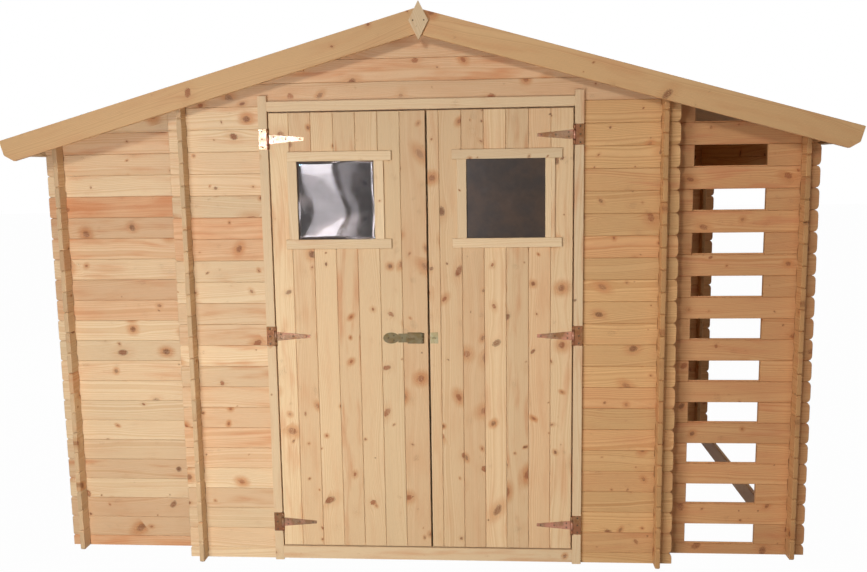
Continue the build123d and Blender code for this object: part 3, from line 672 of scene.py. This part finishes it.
# The log store's back wall gets the warmer wood and added red, which is painted shade.
store_looks = {"red_boards": [(1232, 0.4)], "warmth": 0.3, "wood": right_shade_pine}
run_across("front_wall_left", (True, False), [-MAIN_X], 11, red_boards=left_reds)
run_across("front_wall_right", (False, True), [MAIN_X], 12, **right_looks)
run_across("front_gable", both, both_sides, 13, red_boards=[(2024, 0.12)], warmth=0.35)
run_across("back_wall", both, both_sides, 14, red_boards=back_reds)
run_across("side_room_front_wall", both, [-END_X, -MAIN_X], 15, red_boards=side_reds)
run_across("side_room_back_wall", both, [-END_X, -MAIN_X], 16, red_boards=[(968, 0.5)])
run_across("log_store_back_wall", both, [MAIN_X, END_X], 17, **store_looks)

# %% [markdown]
# ### Walls that run front to back
#
# These are the end wall of the side room, the two partitions, and the sill, piers and head round the open
# end of the log store. They start with a whole board, so each of their joints meets the middle of a board
# of the front. The left partition is three pieces, because it is open in the middle.

# %% Walls that run front to back
def run_back(node, ears, crossings, seed, **looks):
    """A front-to-back wall in place of its node."""
    low, high = measure(node)
    inside = [c for c in crossings if low.y < c < high.y]
    board = wall_board(*span(low.y, high.y, ears), ears, inside)
    raise_wall(node, board, Y, low.x, COVER * round(low.z / COVER), seed, looks)


end_walls = [-BAY_Y, BAY_Y]
all_walls = [-MAIN_Y, -BAY_Y, BAY_Y, MAIN_Y]
run_back("side_room_end_wall", both, end_walls, 21, red_boards=[(748, 0.5), (1276, 0.3)])
run_back("left_partition_front", (True, False), all_walls, 22)
run_back("left_partition_back", (False, True), all_walls, 23)
run_back("left_partition_head", both, all_walls, 24)
# The right partition and the open end of the log store get the warmer wood and added red, which is painted
# shade.
run_back("right_partition", both, all_walls, 25, red_boards=[(660, 0.4)], warmth=0.1, wood=right_shade_pine)
open_end = (("end_sill", 0.2), ("front_pier", 0.15), ("back_pier", 0.2), ("end_head", 0.15))
for index, (part, warmth) in enumerate(open_end):
    run_back(f"log_store_{part}", both, end_walls, 26 + index, warmth=warmth, wood=right_shade_pine)

# %% [markdown]
# ## The slatted front of the log store
#
# Every second board is left out between two short blocks, so that air reaches the logs. The tongue of the
# board below shows in each slot, and it is only a third as thick as the board.

# %% Slats, blocks and the tongues in the slots
SLOT_LEFT, SLOT_RIGHT, SLOTS = 1091.5, 1377.5, 11
TONGUE_LAP, TONGUE_SINK = 2, 1
low, high = measure("log_store_slatted_front")
left, right = span(low.x, high.x, both)
nicks = (SMALL_NICK, LARGE_NICK)
slat = wall_board(left, right, both, [MAIN_X, END_X], nicks)
courses = [lay(slat, X, low.y, -COVER / 2, SLOTS + 1, 31, step=2 * COVER)]
left_block = wall_board(left, SLOT_LEFT, (True, False), [MAIN_X], nicks)
right_block = wall_board(SLOT_RIGHT, right, (False, True), [END_X], nicks)
for block, seed in ((left_block, 32), (right_block, 33)):
    courses.append(lay(block, X, low.y, COVER / 2, SLOTS, seed, step=2 * COVER))
bm = new_pieces()
tongue = rectangle(SLOT_LEFT - TONGUE_LAP, 0, SLOT_RIGHT + TONGUE_LAP, TONGUE)
place = upright(low.y + (WALL - TONGUE_THICKNESS) / 2, COVER / 2 - TONGUE_SINK)
add_prism(bm, tongue, place, Y * TONGUE_THICKNESS, X, chamfer=1)
courses.append(in_courses(bm, SLOTS, Z * 2 * COVER, 34, wall_pine))
# The slats get the warmer wood and much added red, which is painted shade.
wall("log_store_slats", "log_store_slatted_front", courses, 0.0, high.z, warmth=0.6, wood=right_shade_pine)

# %% [markdown]
# ## The roof
#
# Roof boards run down the slopes, side by side from front to back. In section a board is mitred at the
# ridge and square at the eaves, so the section is the outline and the board's width is the prism's depth.

# %% Roof boards
ROOF_DEPTH, ROOF_HALF, ROOF_BOARDS = 2034.0, 1671.0, 23
DECK, EAVES_BOARD = 19.0, 19.0
deck_width = ROOF_DEPTH / ROOF_BOARDS
slope_length = ROOF_HALF / cos(PITCH) - EAVES_BOARD
for hand, side in HANDS:
    down, up = slope_ways(side)
    peak = Z * (RIDGE + DECK / cos(PITCH))
    eave = peak + down * slope_length
    outline = [(corner.x, corner.z) for corner in (peak, eave, eave - up * DECK, Z * RIDGE)]
    place = upright(measure("roof_deck_left")[0].y)
    bm = new_pieces()
    add_prism(bm, outline, place, Y * deck_width, down, chamfer=1.6, heart=up)
    deck = new_pieces()
    deck.from_mesh(in_courses(bm, ROOF_BOARDS, Y * deck_width, 41 + side, roof_pine))
    settle(made(f"roof_boards_{hand}", deck, roof_pine), "shed", "roof_boards", f"roof_deck_{hand}")

# %% [markdown]
# ## Planed timber that keeps its CAD shape
#
# Barge boards, eaves boards, purlins, posts, the threshold and the bearers already have the right shape.
# What they lack is the softened edge that a planer leaves and a grain that runs along each. The CAD mesh is
# loose triangles, so a copy is merged and its flat faces joined before its sharp edges are rounded.

# %% Merge, round the edges, store the grain
def clean_copy(node, rounding, angle=30):
    """A merged copy of a node's mesh with its sharp edges rounded."""
    bm = new_pieces()
    bm.from_mesh(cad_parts[node].data)
    bmesh.ops.remove_doubles(bm, verts=bm.verts, dist=1e-5)
    bmesh.ops.dissolve_limit(bm, angle_limit=radians(0.5), verts=bm.verts, edges=bm.edges)
    sharp = [edge for edge in bm.edges if edge.calc_face_angle(0.0) > radians(angle)]
    rounded = {"offset": rounding * MM, "segments": 2, "affect": "EDGES", "clamp_overlap": True}
    bmesh.ops.bevel(bm, geom=sharp, **rounded)
    return bm


def loose_parts(bm):
    """The vertices of each separate solid, in the mesh's own order, so that each run gives the same."""
    seen, parts = set(), []
    for start in bm.verts:
        if start not in seen:
            part = [start]
            seen.add(start)
            for vert in part:
                nearby = [edge.other_vert(vert) for edge in vert.link_edges]
                part += [other for other in nearby if other not in seen]
                seen.update(nearby)
            parts.append(part)
    return parts


def planed(node, along, depth=Y, rounding=1.5, material=trim_pine, tone=0.0):
    """Planed timber in place of a node, whose grain runs along the vector given."""
    bm = clean_copy(node, rounding)
    for index, part in enumerate(loose_parts(bm)):
        faces = {face for vert in part for face in vert.link_faces}
        mark_grain(bm, part, faces, along, depth, number_of(f"{node}{index}"), tone)
    return settle(made(f"{node}_timber", bm, material), "shed", "planed_trim", node)


# %% [markdown]
# ### The pieces
#
# Each piece needs only the way of its grain, and the way to the heart of the tree where that isn't front to
# back. The front finial stands half a millimetre further back, so that its screw heads stay in the CAD box.

# %% Roof edges, doorway and bearers
for hand, side in HANDS:
    down, _ = slope_ways(side)
    for end in ("front", "back"):
        planed(f"{end}_barge_board_{hand}", down, material=barge_pine, tone=0.1)
    planed(f"eaves_board_{hand}", Y, depth=down)
    planed(f"purlin_{hand}", Y, depth=X)
    planed(f"door_post_{hand}", Z)
planed("ridge_purlin", Y, depth=X)
planed("door_head", X)
planed("door_threshold", X)
planed("floor_bearers", Y, depth=X)
slanting = Vector((-0.45, 0, 1))
planed("back_finial", slanting, rounding=1.0)
finial = planed("front_finial", slanting, rounding=1.0)
screw_rise = 0.5
finial.data.transform(Matrix.Translation(Y * screw_rise * MM))

# %% [markdown]
# ## The floor
#
# The floor is plain boards laid left to right. It shows only when the doors stand open, and through them.

# %% Floor boards
FLOOR_BOARD = 105.0
PASSAGE_HALF = 619.0


def floor(node, spans):
    """Boards laid left to right over each span: left, front, right, back, in millimetres."""
    low, high = measure(node)
    joined = new_pieces()
    for index, (left, front, right, back) in enumerate(spans):
        count = round((back - front) / FLOOR_BOARD)
        width = (back - front) / count
        bm = new_pieces()
        place = (Vector((0, front, low.z)), X, Y)
        add_prism(bm, rectangle(left, 0, right, width), place, Z * (high.z - low.z), X, chamfer=1.2)
        joined.from_mesh(in_courses(bm, count, Y * width, 51 + index, floor_pine))
    settle(made(f"{node}_boards", joined, floor_pine), "shed", "floor_boards", node)


low, high = measure("main_floor")
floor("main_floor", [(low.x, low.y, high.x, high.y)])
low, high = measure("side_room_floor")
inner_edge = -(MAIN_X + WALL / 2)
passage = (inner_edge, -PASSAGE_HALF, high.x, PASSAGE_HALF)
floor("side_room_floor", [(low.x, low.y, inner_edge, high.y), passage])

# %% [markdown]
# ## The door leaves
#
# A leaf is upright boards, cut through for the window, with ledges and a brace behind. The boards' widths
# are not equal: the one at the meeting edge is wider. The window's cut laps under the trim by a few
# millimetres.

# %% Door boards round the window
WINDOW_X, WINDOW_HALF, WINDOW_FOOT, WINDOW_HEAD = 337.5, 154.5, 1362.0, 1673.0
LAP = 6.0
LEDGE_HALF, BRACE = 44.0, 88.0
HALF_JOINT = 0.15


def round_window(left, right, low, high, window):
    """Outlines of a door board after the window is cut out of it."""
    cut_left, cut_low, cut_right, cut_high = window
    if right <= cut_left or left >= cut_right:
        return [rectangle(left, low, right, high)]
    if left >= cut_left and right <= cut_right:
        return [rectangle(left, low, right, cut_low), rectangle(left, cut_high, right, high)]
    if left < cut_left:
        cut = [(right, cut_low), (cut_left, cut_low), (cut_left, cut_high), (right, cut_high)]
        return [[(left, low), (right, low), *cut, (right, high), (left, high)]]
    cut = [(left, cut_high), (cut_right, cut_high), (cut_right, cut_low), (left, cut_low)]
    return [[(left, low), (right, low), (right, high), (left, high), *cut]]


def door_leaf(hand, side, joints):
    """The boards of one leaf, whose joints are given, and its ledges and brace."""
    low, high = measure(f"{hand}_door_leaf")
    middle, half = side * WINDOW_X, WINDOW_HALF + LAP
    window = (middle - half, WINDOW_FOOT - LAP, middle + half, WINDOW_HEAD + LAP)
    edges = [low.x, *joints, high.x]
    bm = new_pieces()
    for index, (left, right) in enumerate(zip(edges, edges[1:])):
        chance = Random(f"{hand} door board {index}")
        looks = {"gap": GAP, "board": chance.random(), "tone": max(0.0, chance.uniform(-0.25, 0.35))}
        for outline in round_window(left + HALF_JOINT, right - HALF_JOINT, low.z, high.z, window):
            add_prism(bm, outline, upright(low.y), Y * WALL, Z, **looks)
    settle(made(f"{hand}_door_boards", bm, door_pine), f"{hand}_door", "door_boards", f"{hand}_door_leaf")
    low, high = measure(f"{hand}_door_ledges")
    place = upright(low.y)
    bm = new_pieces()
    for index, height in enumerate(HINGE_HEIGHTS):
        ledge = rectangle(low.x, height - LEDGE_HALF, high.x, height + LEDGE_HALF)
        add_prism(bm, ledge, place, Y * WALL, X, chamfer=1.5, board=number_of(f"{hand} ledge {index}"))
    foot, head = (low.x, high.x) if side < 0 else (high.x, low.x)
    inward = -side * BRACE
    start, end = HINGE_HEIGHTS[0] + LEDGE_HALF, HINGE_HEIGHTS[1] - LEDGE_HALF
    brace = [(foot, start), (foot + inward, start), (head, end), (head - inward, end)]
    slant = Vector((head - foot - inward, 0, end - start))
    add_prism(bm, brace, place, Y * WALL, slant, chamfer=1.5, board=number_of(f"{hand} brace"))
    settle(made(f"{hand}_door_battens", bm, trim_pine), f"{hand}_door", "planed_trim", f"{hand}_door_ledges")


door_leaf("left", -1, [-521, -433, -343.5, -256, -167, -79])
door_leaf("right", 1, [75, 163.5, 251, 338, 427, 514])

# %% [markdown]
# ## Windows
#
# A thin clear sheet sits in the cut, held by a bead behind and boards in front. The boards above and below
# run past the sides by different amounts, and the right window has a doubled board at its right side.

# %% Window boards and beads
WINDOW_BOARD, WINDOW_BOARD_THICKNESS, BEAD = 38.0, 10.0, 12.0
DOUBLED_SHARE = 0.62


def add_strips(bm, kind, strips, y, thickness, chamfer):
    """Boards or beads on an upright plane, each with its outline and the way of its grain."""
    for index, (outline, along) in enumerate(strips):
        board = number_of(f"{kind} {index}")
        add_prism(bm, outline, upright(y), Y * thickness, along, chamfer=chamfer, board=board)


def window_frame(hand, side, overruns):
    """The boards round a window and the bead behind its sheet."""
    low, high = measure(f"{hand}_window_trim")
    middle, foot, head = side * WINDOW_X, WINDOW_FOOT, WINDOW_HEAD
    left, right = middle - WINDOW_HALF, middle + WINDOW_HALF
    far_left, far_right = left - WINDOW_BOARD, right + WINDOW_BOARD
    head_left, head_right, foot_left, foot_right = overruns
    boards = [
        (rectangle(far_left - head_left, head, far_right + head_right, head + WINDOW_BOARD), X),
        (rectangle(far_left - foot_left, foot - WINDOW_BOARD, far_right + foot_right, foot), X),
        (rectangle(far_left, foot, left, head), Z),
        (rectangle(right, foot, far_right, head), Z),
    ]
    if hand == "right":
        joint = right + WINDOW_BOARD * DOUBLED_SHARE
        boards[-1:] = [(rectangle(right, foot, joint, head), Z), (rectangle(joint, foot, far_right, head), Z)]
    bm = new_pieces()
    add_strips(bm, f"{hand} window board", boards, low.y, WINDOW_BOARD_THICKNESS, chamfer=1.3)
    left, foot, right, head = left - LAP, foot - LAP, right + LAP, head + LAP
    beads = [
        (rectangle(left, foot, right, foot + BEAD), X),
        (rectangle(left, head - BEAD, right, head), X),
        (rectangle(left, foot + BEAD, left + BEAD, head - BEAD), Z),
        (rectangle(right - BEAD, foot + BEAD, right, head - BEAD), Z),
    ]
    add_strips(bm, f"{hand} bead", beads, high.y - BEAD, BEAD, chamfer=2.5)
    settle(made(f"{hand}_window_boards", bm, trim_pine), f"{hand}_door", "planed_trim", f"{hand}_window_trim")


window_frame("left", -1, (0, 32, 13, 28))
window_frame("right", 1, (19, 28, 20, 28))

# %% [markdown]
# ### The clear sheets
#
# A sheet is thin plastic that isn't quite flat, which is why its reflections bend. A bump map can't bend
# them as far, so the sheet itself is bowed: one long roll whose crest bends like an S. The right sheet is
# nearly flat, duller and less clear.

# %% The clear sheets
SHEET_STEPS = 60
SHEET_INSET = 0.2


def clear_sheet_material(name, tint, cloud, roughness, clearness, shine):
    """Thin clear plastic: see-through, glossy, slightly tinted, and hazy where it isn't quite clear."""
    values = {"Transmission Weight": clearness, "IOR": 1.49, "Specular IOR Level": shine}
    material, shader, nodes = new_material(name, values)
    place = nodes.object_place()
    clouds = nodes.ramp(nodes.noise(place, scale=11.0, detail=4.0, roughness=0.6), 0.3, 0.7)
    nodes.feed(shader.inputs["Base Color"], nodes.mix(clouds, tint, cloud))
    scuffs = nodes.noise(place, scale=46.0, detail=5.0, roughness=0.7)
    nodes.feed(shader.inputs["Roughness"], nodes.ramp(scuffs, 0.45, 0.8, roughness, roughness + 0.1))
    ripples = {"Strength": 0.05, "Distance": 0.01, "Height": nodes.noise(place, scale=9.0, detail=1.0)}
    nodes.feed(shader.inputs["Normal"], nodes.out("ShaderNodeBump", ripples))
    return material


def bowed(u, v, bow):
    """How far the sheet stands forward at a place on it: one long roll, whose crest bends like an S."""
    crest = 0.21 + 0.28 * exp(-((v - 0.36) / 0.27) ** 2) + 0.05 * v
    edge = min(1.0, 22 * min(u, 1 - u, v, 1 - v))
    return -bow * cos(2 * pi * (u - crest) / 1.7) * edge * edge * (3 - 2 * edge)


def clear_sheet(hand, bow, material):
    """A thin bowed sheet in place of the flat CAD pane."""
    low, high = measure(f"{hand}_window_pane")
    bm = bmesh.new()
    rows, steps = {}, SHEET_STEPS
    for face, y in ((0, low.y + SHEET_INSET), (1, high.y - SHEET_INSET)):
        for i in range(steps + 1):
            for j in range(steps + 1):
                u, v = i / steps, j / steps
                x, z = low.x + (high.x - low.x) * u, low.z + (high.z - low.z) * v
                rows[face, i, j] = bm.verts.new(Vector((x, y + bowed(u, v, bow), z)) * MM)
    for i in range(steps):
        for j in range(steps):
            for face in (0, 1):
                corners = [rows[face, i + a, j + b] for a, b in rectangle(0, 0, 1, 1)]
                bm.faces.new(corners if face == 0 else corners[::-1])
    border = [(i, 0) for i in range(steps)] + [(steps, j) for j in range(steps)]
    border += [(i, steps) for i in range(steps, 0, -1)] + [(0, j) for j in range(steps, 0, -1)]
    for here, after in zip(border, border[1:] + border[:1]):
        bm.faces.new((rows[0, *here], rows[1, *here], rows[1, *after], rows[0, *after]))
    for face in bm.faces:
        face.smooth = True
    settle(made(f"{hand}_clear_sheet", bm, material), f"{hand}_door", "clear_sheet", f"{hand}_window_pane")


left_clear = clear_sheet_material("left_clear_sheet", (150, 136, 136), (134, 122, 120), 0.05, 0.93, 0.5)
right_clear = clear_sheet_material("right_clear_sheet", (90, 62, 38), (62, 44, 30), 0.3, 0.55, 0.12)
clear_sheet("left", 3.5, left_clear)
clear_sheet("right", 0.5, right_clear)

# %% [markdown]
# ## Plated ironwork
#
# Hinges and hasp are pressed from steel sheet and plated. Yellow passivation lies on the zinc in patches
# that shift between straw, pink and grey, and it wears off in spots. The colours are also darker and browner
# than the plating, which is a painted reflection of the wood round the ironwork.

# %% The plating group and its materials
plate_inputs = [
    ("Zinc", "Color", (186, 180, 166)),
    ("Straw", "Color", (196, 170, 110)),
    ("Blush", "Color", (196, 146, 128)),
    ("Blush share", "Float", 0.35),
    ("Base roughness", "Float", 0.38),
]
n, given, wanted = new_group("plated steel", "ShaderNodeTree", plate_inputs, surface_outputs)
place = n.object_place()
broad = n.noise(place, scale=38.0, detail=3.0, roughness=0.6)
blush = n.noise(place, scale=17.0)
fine = n.noise(place, scale=420.0, detail=3.0, roughness=0.7)
colour = n.mix(n.ramp(broad, 0.36, 0.62), given["Zinc"], given["Straw"])
colour = n.mix(n.ramp(blush, 0.45, 0.65) * given["Blush share"], colour, given["Blush"])
spots = n.ramp(n.noise(place, scale=160.0), 0.62, 0.74)
n.feed(wanted["Color"], n.mix(spots * 0.45, colour, (104, 88, 66)))
rough = given["Base roughness"] + n.ramp(fine, 0.3, 0.7, -0.06, 0.1)
n.feed(wanted["Roughness"], rough + spots * 0.15)
n.feed(wanted["Height"], fine * 0.4 + spots * -0.3)
plate_group = n.tree
print("plating group:", len(plate_group.nodes), "nodes")


def steel(name, zinc, straw, share=0.1, blush=(196, 146, 128), roughness=0.38, bump=0.3):
    """Plated steel with colours of its own, darkened and browned as a painted reflection of the wood."""
    values = {"Zinc": zinc, "Straw": straw, "Blush": blush, "Blush share": share, "Base roughness": roughness}
    return group_material(f"{name}_steel", plate_group, values, bump, {"Metallic": 0.85})


# These dark browns are partly the plating and partly painted reflection of the wood round it; the screws are
# darkest.
strap_steel = steel("strap", (150, 118, 92), (140, 98, 66), 0.7, (192, 132, 110), 0.26)
hinge_steel = steel("hinge", (146, 108, 76), (132, 88, 54), 0.6, (140, 86, 62), 0.22)
staple_steel = steel("staple", (164, 154, 122), (156, 140, 100))
hasp_steel = steel("hasp", (112, 102, 76), (104, 86, 54))
screw_steel = steel("screw", (96, 82, 64), (92, 74, 52), roughness=0.4, bump=0.2)

# %% [markdown]
# ### Hinges and hasp
#
# The ironwork keeps its CAD shape, with rounded edges. Only the straps are drawn in towards their tips,
# because a tee hinge's strap tapers more than its solid does. Small faces are the rounded ones, so they are
# shaded smooth.

# %% Hinges and hasp
TIP_SLIMMING = 0.35
EDGE_ROUNDING = 0.5
SMALL_FACE = 4e-5


def slim_tips(bm, node):
    """Draws straps in towards their tips, about their own middle heights."""
    low, high = measure(node)
    near, far = sorted((abs(low.x), abs(high.x)))
    for vert in bm.verts:
        height = min(HINGE_HEIGHTS, key=lambda z: abs(z - vert.co.z / MM)) * MM
        share = (far - abs(vert.co.x / MM)) / (far - near)
        vert.co.z = height + (vert.co.z - height) * (1 - TIP_SLIMMING * share)


def ironwork(node, body, material, slim=False):
    """Ironwork of the CAD shape with its edges rounded."""
    bm = clean_copy(node, EDGE_ROUNDING, angle=40)
    if slim:
        slim_tips(bm, node)
    for face in bm.faces:
        face.smooth = face.calc_area() < SMALL_FACE
    settle(made(f"{node}_plated", bm, material), body, "plated_steel", node)


ironwork("hinge_plates", "shed", hinge_steel)
ironwork("left_door_hinge_straps", "left_door", strap_steel, slim=True)
ironwork("right_door_hinge_straps", "right_door", strap_steel, slim=True)
ironwork("hasp_plate", "left_door", hasp_steel)
ironwork("hasp_flap", "hasp", hasp_steel)
ironwork("hasp_staple", "right_door", staple_steel)

# %% [markdown]
# ## Screws
#
# Screw heads repeat, so Geometry Nodes set one head on each point of a small mesh of places and turn each
# by chance. The head is a low dome with a cross recess.

# %% One screw head and the tree that sets it
def screw_head(radius, rise):
    """A low dome with a cross recess, facing the front."""
    bm = new_pieces()
    sides = 24
    loops = []
    for share, height in ((1.0, -0.1), (1.0, 0.35), (0.78, 0.85)):
        angles = [2 * pi * index / sides for index in range(sides)]
        ring = [Vector((cos(a) * radius * share, -rise * height, sin(a) * radius * share)) for a in angles]
        loops.append([bm.verts.new(spot * MM) for spot in ring])
    arm, half = radius * 0.52, radius * 0.14
    cross = [(half, half), (half, arm), (-half, arm), (-half, half), (-arm, half), (-arm, -half)]
    cross += [(-x, -z) for x, z in cross]
    rim = [bm.verts.new(Vector((x, -rise, z)) * MM) for x, z in cross]
    foot = [bm.verts.new(Vector((x * 0.8, -rise * 0.2, z * 0.8)) * MM) for x, z in cross]
    for lower, upper in zip(loops, loops[1:]):
        join_rings(bm, lower, upper)
    outer = [bm.edges.get((loops[-1][i], loops[-1][(i + 1) % sides])) for i in range(sides)]
    inner = [bm.edges.new((rim[i], rim[(i + 1) % len(rim)])) for i in range(len(rim))]
    bmesh.ops.bridge_loops(bm, edges=outer + inner)
    join_rings(bm, rim, foot)
    bm.faces.new(foot)
    bm.faces.new(loops[0][::-1])
    return bm


screw_inputs = [("Head", "Geometry"), ("Places", "Object"), ("Seed", "Int"), ("Material", "Material")]
screw_outputs = [("Screws", "Geometry")]
n, given, wanted = new_group("screws on places", "GeometryNodeTree", screw_inputs, screw_outputs)
places = n.add("GeometryNodeObjectInfo", {"Object": given["Places"]}, transform_space="ORIGINAL")
limits = {0: (0.0, 0.0, 0.0), 1: (0.0, pi / 2, 0.0), "Seed": given["Seed"]}
turn = n.out("FunctionNodeRandomValue", limits, data_type="FLOAT_VECTOR")
spots = {"Points": places.outputs["Geometry"], "Instance": given["Head"], "Rotation": turn}
heads = n.out("GeometryNodeInstanceOnPoints", spots)
heads = n.out("GeometryNodeRealizeInstances", {"Geometry": heads})
heads = n.out("GeometryNodeSetMaterial", {"Geometry": heads, "Material": given["Material"]})
n.feed(wanted["Screws"], heads)
screw_tree = n.tree


def screws(name, body, spots, radius=3.6, rise=1.5):
    """Screw heads that face the front, at places given in millimetres."""
    bm = bmesh.new()
    for spot in spots:
        bm.verts.new(Vector(spot) * MM)
    places = made(f"{name}_places", bm, screw_steel)
    values = {"Places": places, "Seed": len(spots), "Material": screw_steel}
    mesh = run_tree(screw_head(radius, rise), screw_tree, values)
    bpy.data.objects.remove(places)
    settle(new_object(name, mesh), body, "plated_steel")


# %% [markdown]
# ### Where the screws are
#
# A hinge plate has three screws in a row up its middle, a strap has two side by side and two along it, and
# the hasp plate has four. Two small ones hold the front finial.

# %% Screws in the hinges, the hasp and the finial
PLATE_SCREWS_X, PLATE_SCREW_STEP = 627, 31
STRAP_SCREWS = ((582, 9), (582, -9), (532, 0), (476, 0))
HASP_SCREWS = ((-140, 958), (-118, 968), (-118, 948), (-84, 958))
METAL = 2.5
FINIAL_SCREW_X = 21
strap_face = measure("left_door_leaf")[0].y - METAL
plate_spots = []
for _, side in HANDS:
    for height in HINGE_HEIGHTS:
        for z in (height - PLATE_SCREW_STEP, height, height + PLATE_SCREW_STEP):
            plate_spots.append((side * PLATE_SCREWS_X, strap_face, z))
screws("hinge_plate_screws", "shed", plate_spots)
for hand, side in HANDS:
    spots = [(side * x, strap_face, z + rise) for z in HINGE_HEIGHTS for x, rise in STRAP_SCREWS]
    screws(f"{hand}_strap_screws", f"{hand}_door", spots, radius=3.2)
screws("hasp_screws", "left_door", [(x, strap_face, z) for x, z in HASP_SCREWS], radius=3.2)
low, high = measure("front_finial")
middle = (low + high) / 2
finial_spots = [(middle.x + side * FINIAL_SCREW_X, low.y + screw_rise, middle.z) for _, side in HANDS]
screws("finial_screws", "shed", finial_spots, radius=3.0, rise=screw_rise)

# %% [markdown]
# ## Camera
#
# The camera was fitted to the board joints in the photograph: a normal lens, a little right of the middle,
# at head height, tipped down slightly.

# %% Camera
yaw, tip, roll = -0.0682, 0.1361, -0.0149
forward = Vector((sin(yaw) * cos(tip), cos(yaw) * cos(tip), -sin(tip)))
level = Vector((cos(yaw), -sin(yaw), 0))
upward = level.cross(forward)
right_axis = cos(roll) * level + sin(roll) * upward
up_axis = -sin(roll) * level + cos(roll) * upward
turned = Matrix((right_axis, up_axis, -forward)).transposed().to_4x4()
camera = new_object("camera", bpy.data.cameras.new("camera"))
camera.data.sensor_width, camera.data.lens = 36.0, 36.09
camera.matrix_world = Matrix.Translation((0.2825, -4.4128, 1.6441)) @ turned
bpy.context.scene.camera = camera
bpy.context.scene.view_settings.view_transform = "Standard"
print("camera:", [round(v, 3) for v in camera.matrix_world.translation], camera.data.lens, "mm")

# %% [markdown]
# ## Floor and background
#
# The shed stands on white. A white floor and a bright world would throw too much light back at the boards,
# so both look white where they are seen, directly, in a mirror or through a clear sheet, and light the
# boards only faintly. The floor still takes the shed's shadow.

# %% Floor and world
def seen_rays(nodes):
    """1 for rays from the camera, from a mirror or through a clear sheet, and 0 for the others."""
    rays = nodes.add("ShaderNodeLightPath").outputs
    seen = nodes.math("MAXIMUM", rays["Is Camera Ray"], rays["Is Glossy Ray"])
    return nodes.math("MAXIMUM", seen, rays["Is Transmission Ray"])


def white_where_seen(name, grey, white_share):
    """A grey surface that keeps the shadow and looks nearly white where it is seen."""
    values = {"Base Color": (grey, grey, grey, 1), "Roughness": 0.9, "Specular IOR Level": 0.1}
    material, shader, nodes = new_material(name, values)
    white = nodes.out("ShaderNodeEmission", {"Color": (1, 1, 1, 1), "Strength": 1.0})
    sockets = {0: seen_rays(nodes) * white_share, 1: shader.outputs[0], 2: white}
    output = next(node for node in material.node_tree.nodes if node.type == "OUTPUT_MATERIAL")
    nodes.feed(output.inputs["Surface"], nodes.out("ShaderNodeMixShader", sockets))
    return material


ground = bmesh.new()
bmesh.ops.create_grid(ground, x_segments=1, y_segments=1, size=30)
ground_piece = made("studio_floor", ground, white_where_seen("studio_floor", 0.16, 0.985))
ground_piece.data.transform(Matrix.Translation((0, 0, -0.0005)))

world = bpy.data.worlds.new("studio")
bpy.context.scene.world = world
world.use_nodes = True
world.node_tree.nodes.clear()
nodes = Nodes(world.node_tree)
seen = seen_rays(nodes)
strength = nodes.ramp(seen, 0, 1, 0.045, 1.0, smooth=False)
tint = nodes.mix(seen, (1.0, 0.95, 0.88, 1), (1, 1, 1, 1))
shine = nodes.out("ShaderNodeBackground", {"Color": tint, "Strength": strength})
nodes.add("ShaderNodeOutputWorld", {"Surface": shine})
print("world:", len(world.node_tree.nodes), "nodes")

# %% [markdown]
# ## Lamps
#
# Two soft lamps at the front left make the shadows, a high one for the gable and a low one for the doors
# and the slats. A weaker, warmer one at the front right fills them in. Three behind and above light the
# sides that the photograph doesn't show. Shiny surfaces don't mirror the lamps, apart from the one at the
# front right.

# %% Lamps
def soft_lamp(name, place, aim, size, power, colour=(1, 1, 1), mirrored=False):
    """A rectangular soft lamp that points at a place, in metres and watts."""
    data = bpy.data.lights.new(name, "AREA")
    data.shape = "RECTANGLE"
    data.size, data.size_y = size
    data.energy, data.color = power, colour
    lamp = new_object(name, data)
    turned = (Vector(aim) - Vector(place)).to_track_quat("-Z", "Y").to_matrix()
    lamp.matrix_world = Matrix.Translation(place) @ turned.to_4x4()
    lamp.visible_glossy = mirrored
    print(name, round(power, 2), "W")
    return lamp


soft_lamp("high_left", (-0.8, -5.6, 3.05), (-0.4, -0.9, 0.5), (0.5, 0.5), 75)
soft_lamp("low_left", (-1.2, -3.9, 0.95), (-0.6, -1.6, -0.8), (1.4, 0.8), 70)
soft_lamp("behind_left", (-4.2, 3.6, 2.4), (-0.6, 0.3, 0.9), (1.6, 1.6), 170)
soft_lamp("behind_right", (4.6, 2.2, 2.0), (1.2, 0.2, 0.9), (1.6, 1.6), 32)
soft_lamp("above", (0, 2.6, 5.2), (0, 0.2, 1.9), (2.0, 2.0), 120)
warm_white = (1.0, 0.82, 0.64)
soft_lamp("front_right", (2.2, -4.2, 0.8), (0.9, -0.9, 0.0), (1.6, 1.2), 17, warm_white, mirrored=True)

# %% [markdown]
# ## Cards to mirror
#
# Polished plastic and plated steel look like what they mirror. The left window mirrors bright surroundings
# in bands and the top left hinge a pale patch of sky, so cards stand in for them, as in a studio. A card
# lights nothing that isn't shiny.

# %% Cards that the left window and the top hinge mirror
CARDS_Y = -5.6


def mirror_card(name, left, right, foot, head, glow, colour=(1.0, 0.95, 1.0)):
    """A card that is seen only in shiny surfaces. A glow of 1 is white."""
    place = Vector(((left + right) / 2, CARDS_Y, (foot + head) / 2))
    width, height = right - left, head - foot
    power = 4 * glow * width * height
    card = soft_lamp(name, place, place + Y, (width, height), power, colour, mirrored=True)
    card.visible_diffuse = False


mirror_card("card_top", -1.74, -0.95, 1.58, 2.1, 15)
mirror_card("card_middle", -1.74, -0.95, 1.1, 1.58, 5.5)
mirror_card("card_foot", -1.74, -0.95, 0.7, 1.1, 13)
mirror_card("card_side", -0.8, -0.64, 0.7, 2.1, 2.8)
mirror_card("card_hinge", -2.0, -1.75, 1.8, 2.05, 165, (0.32, 0.6, 1.0))
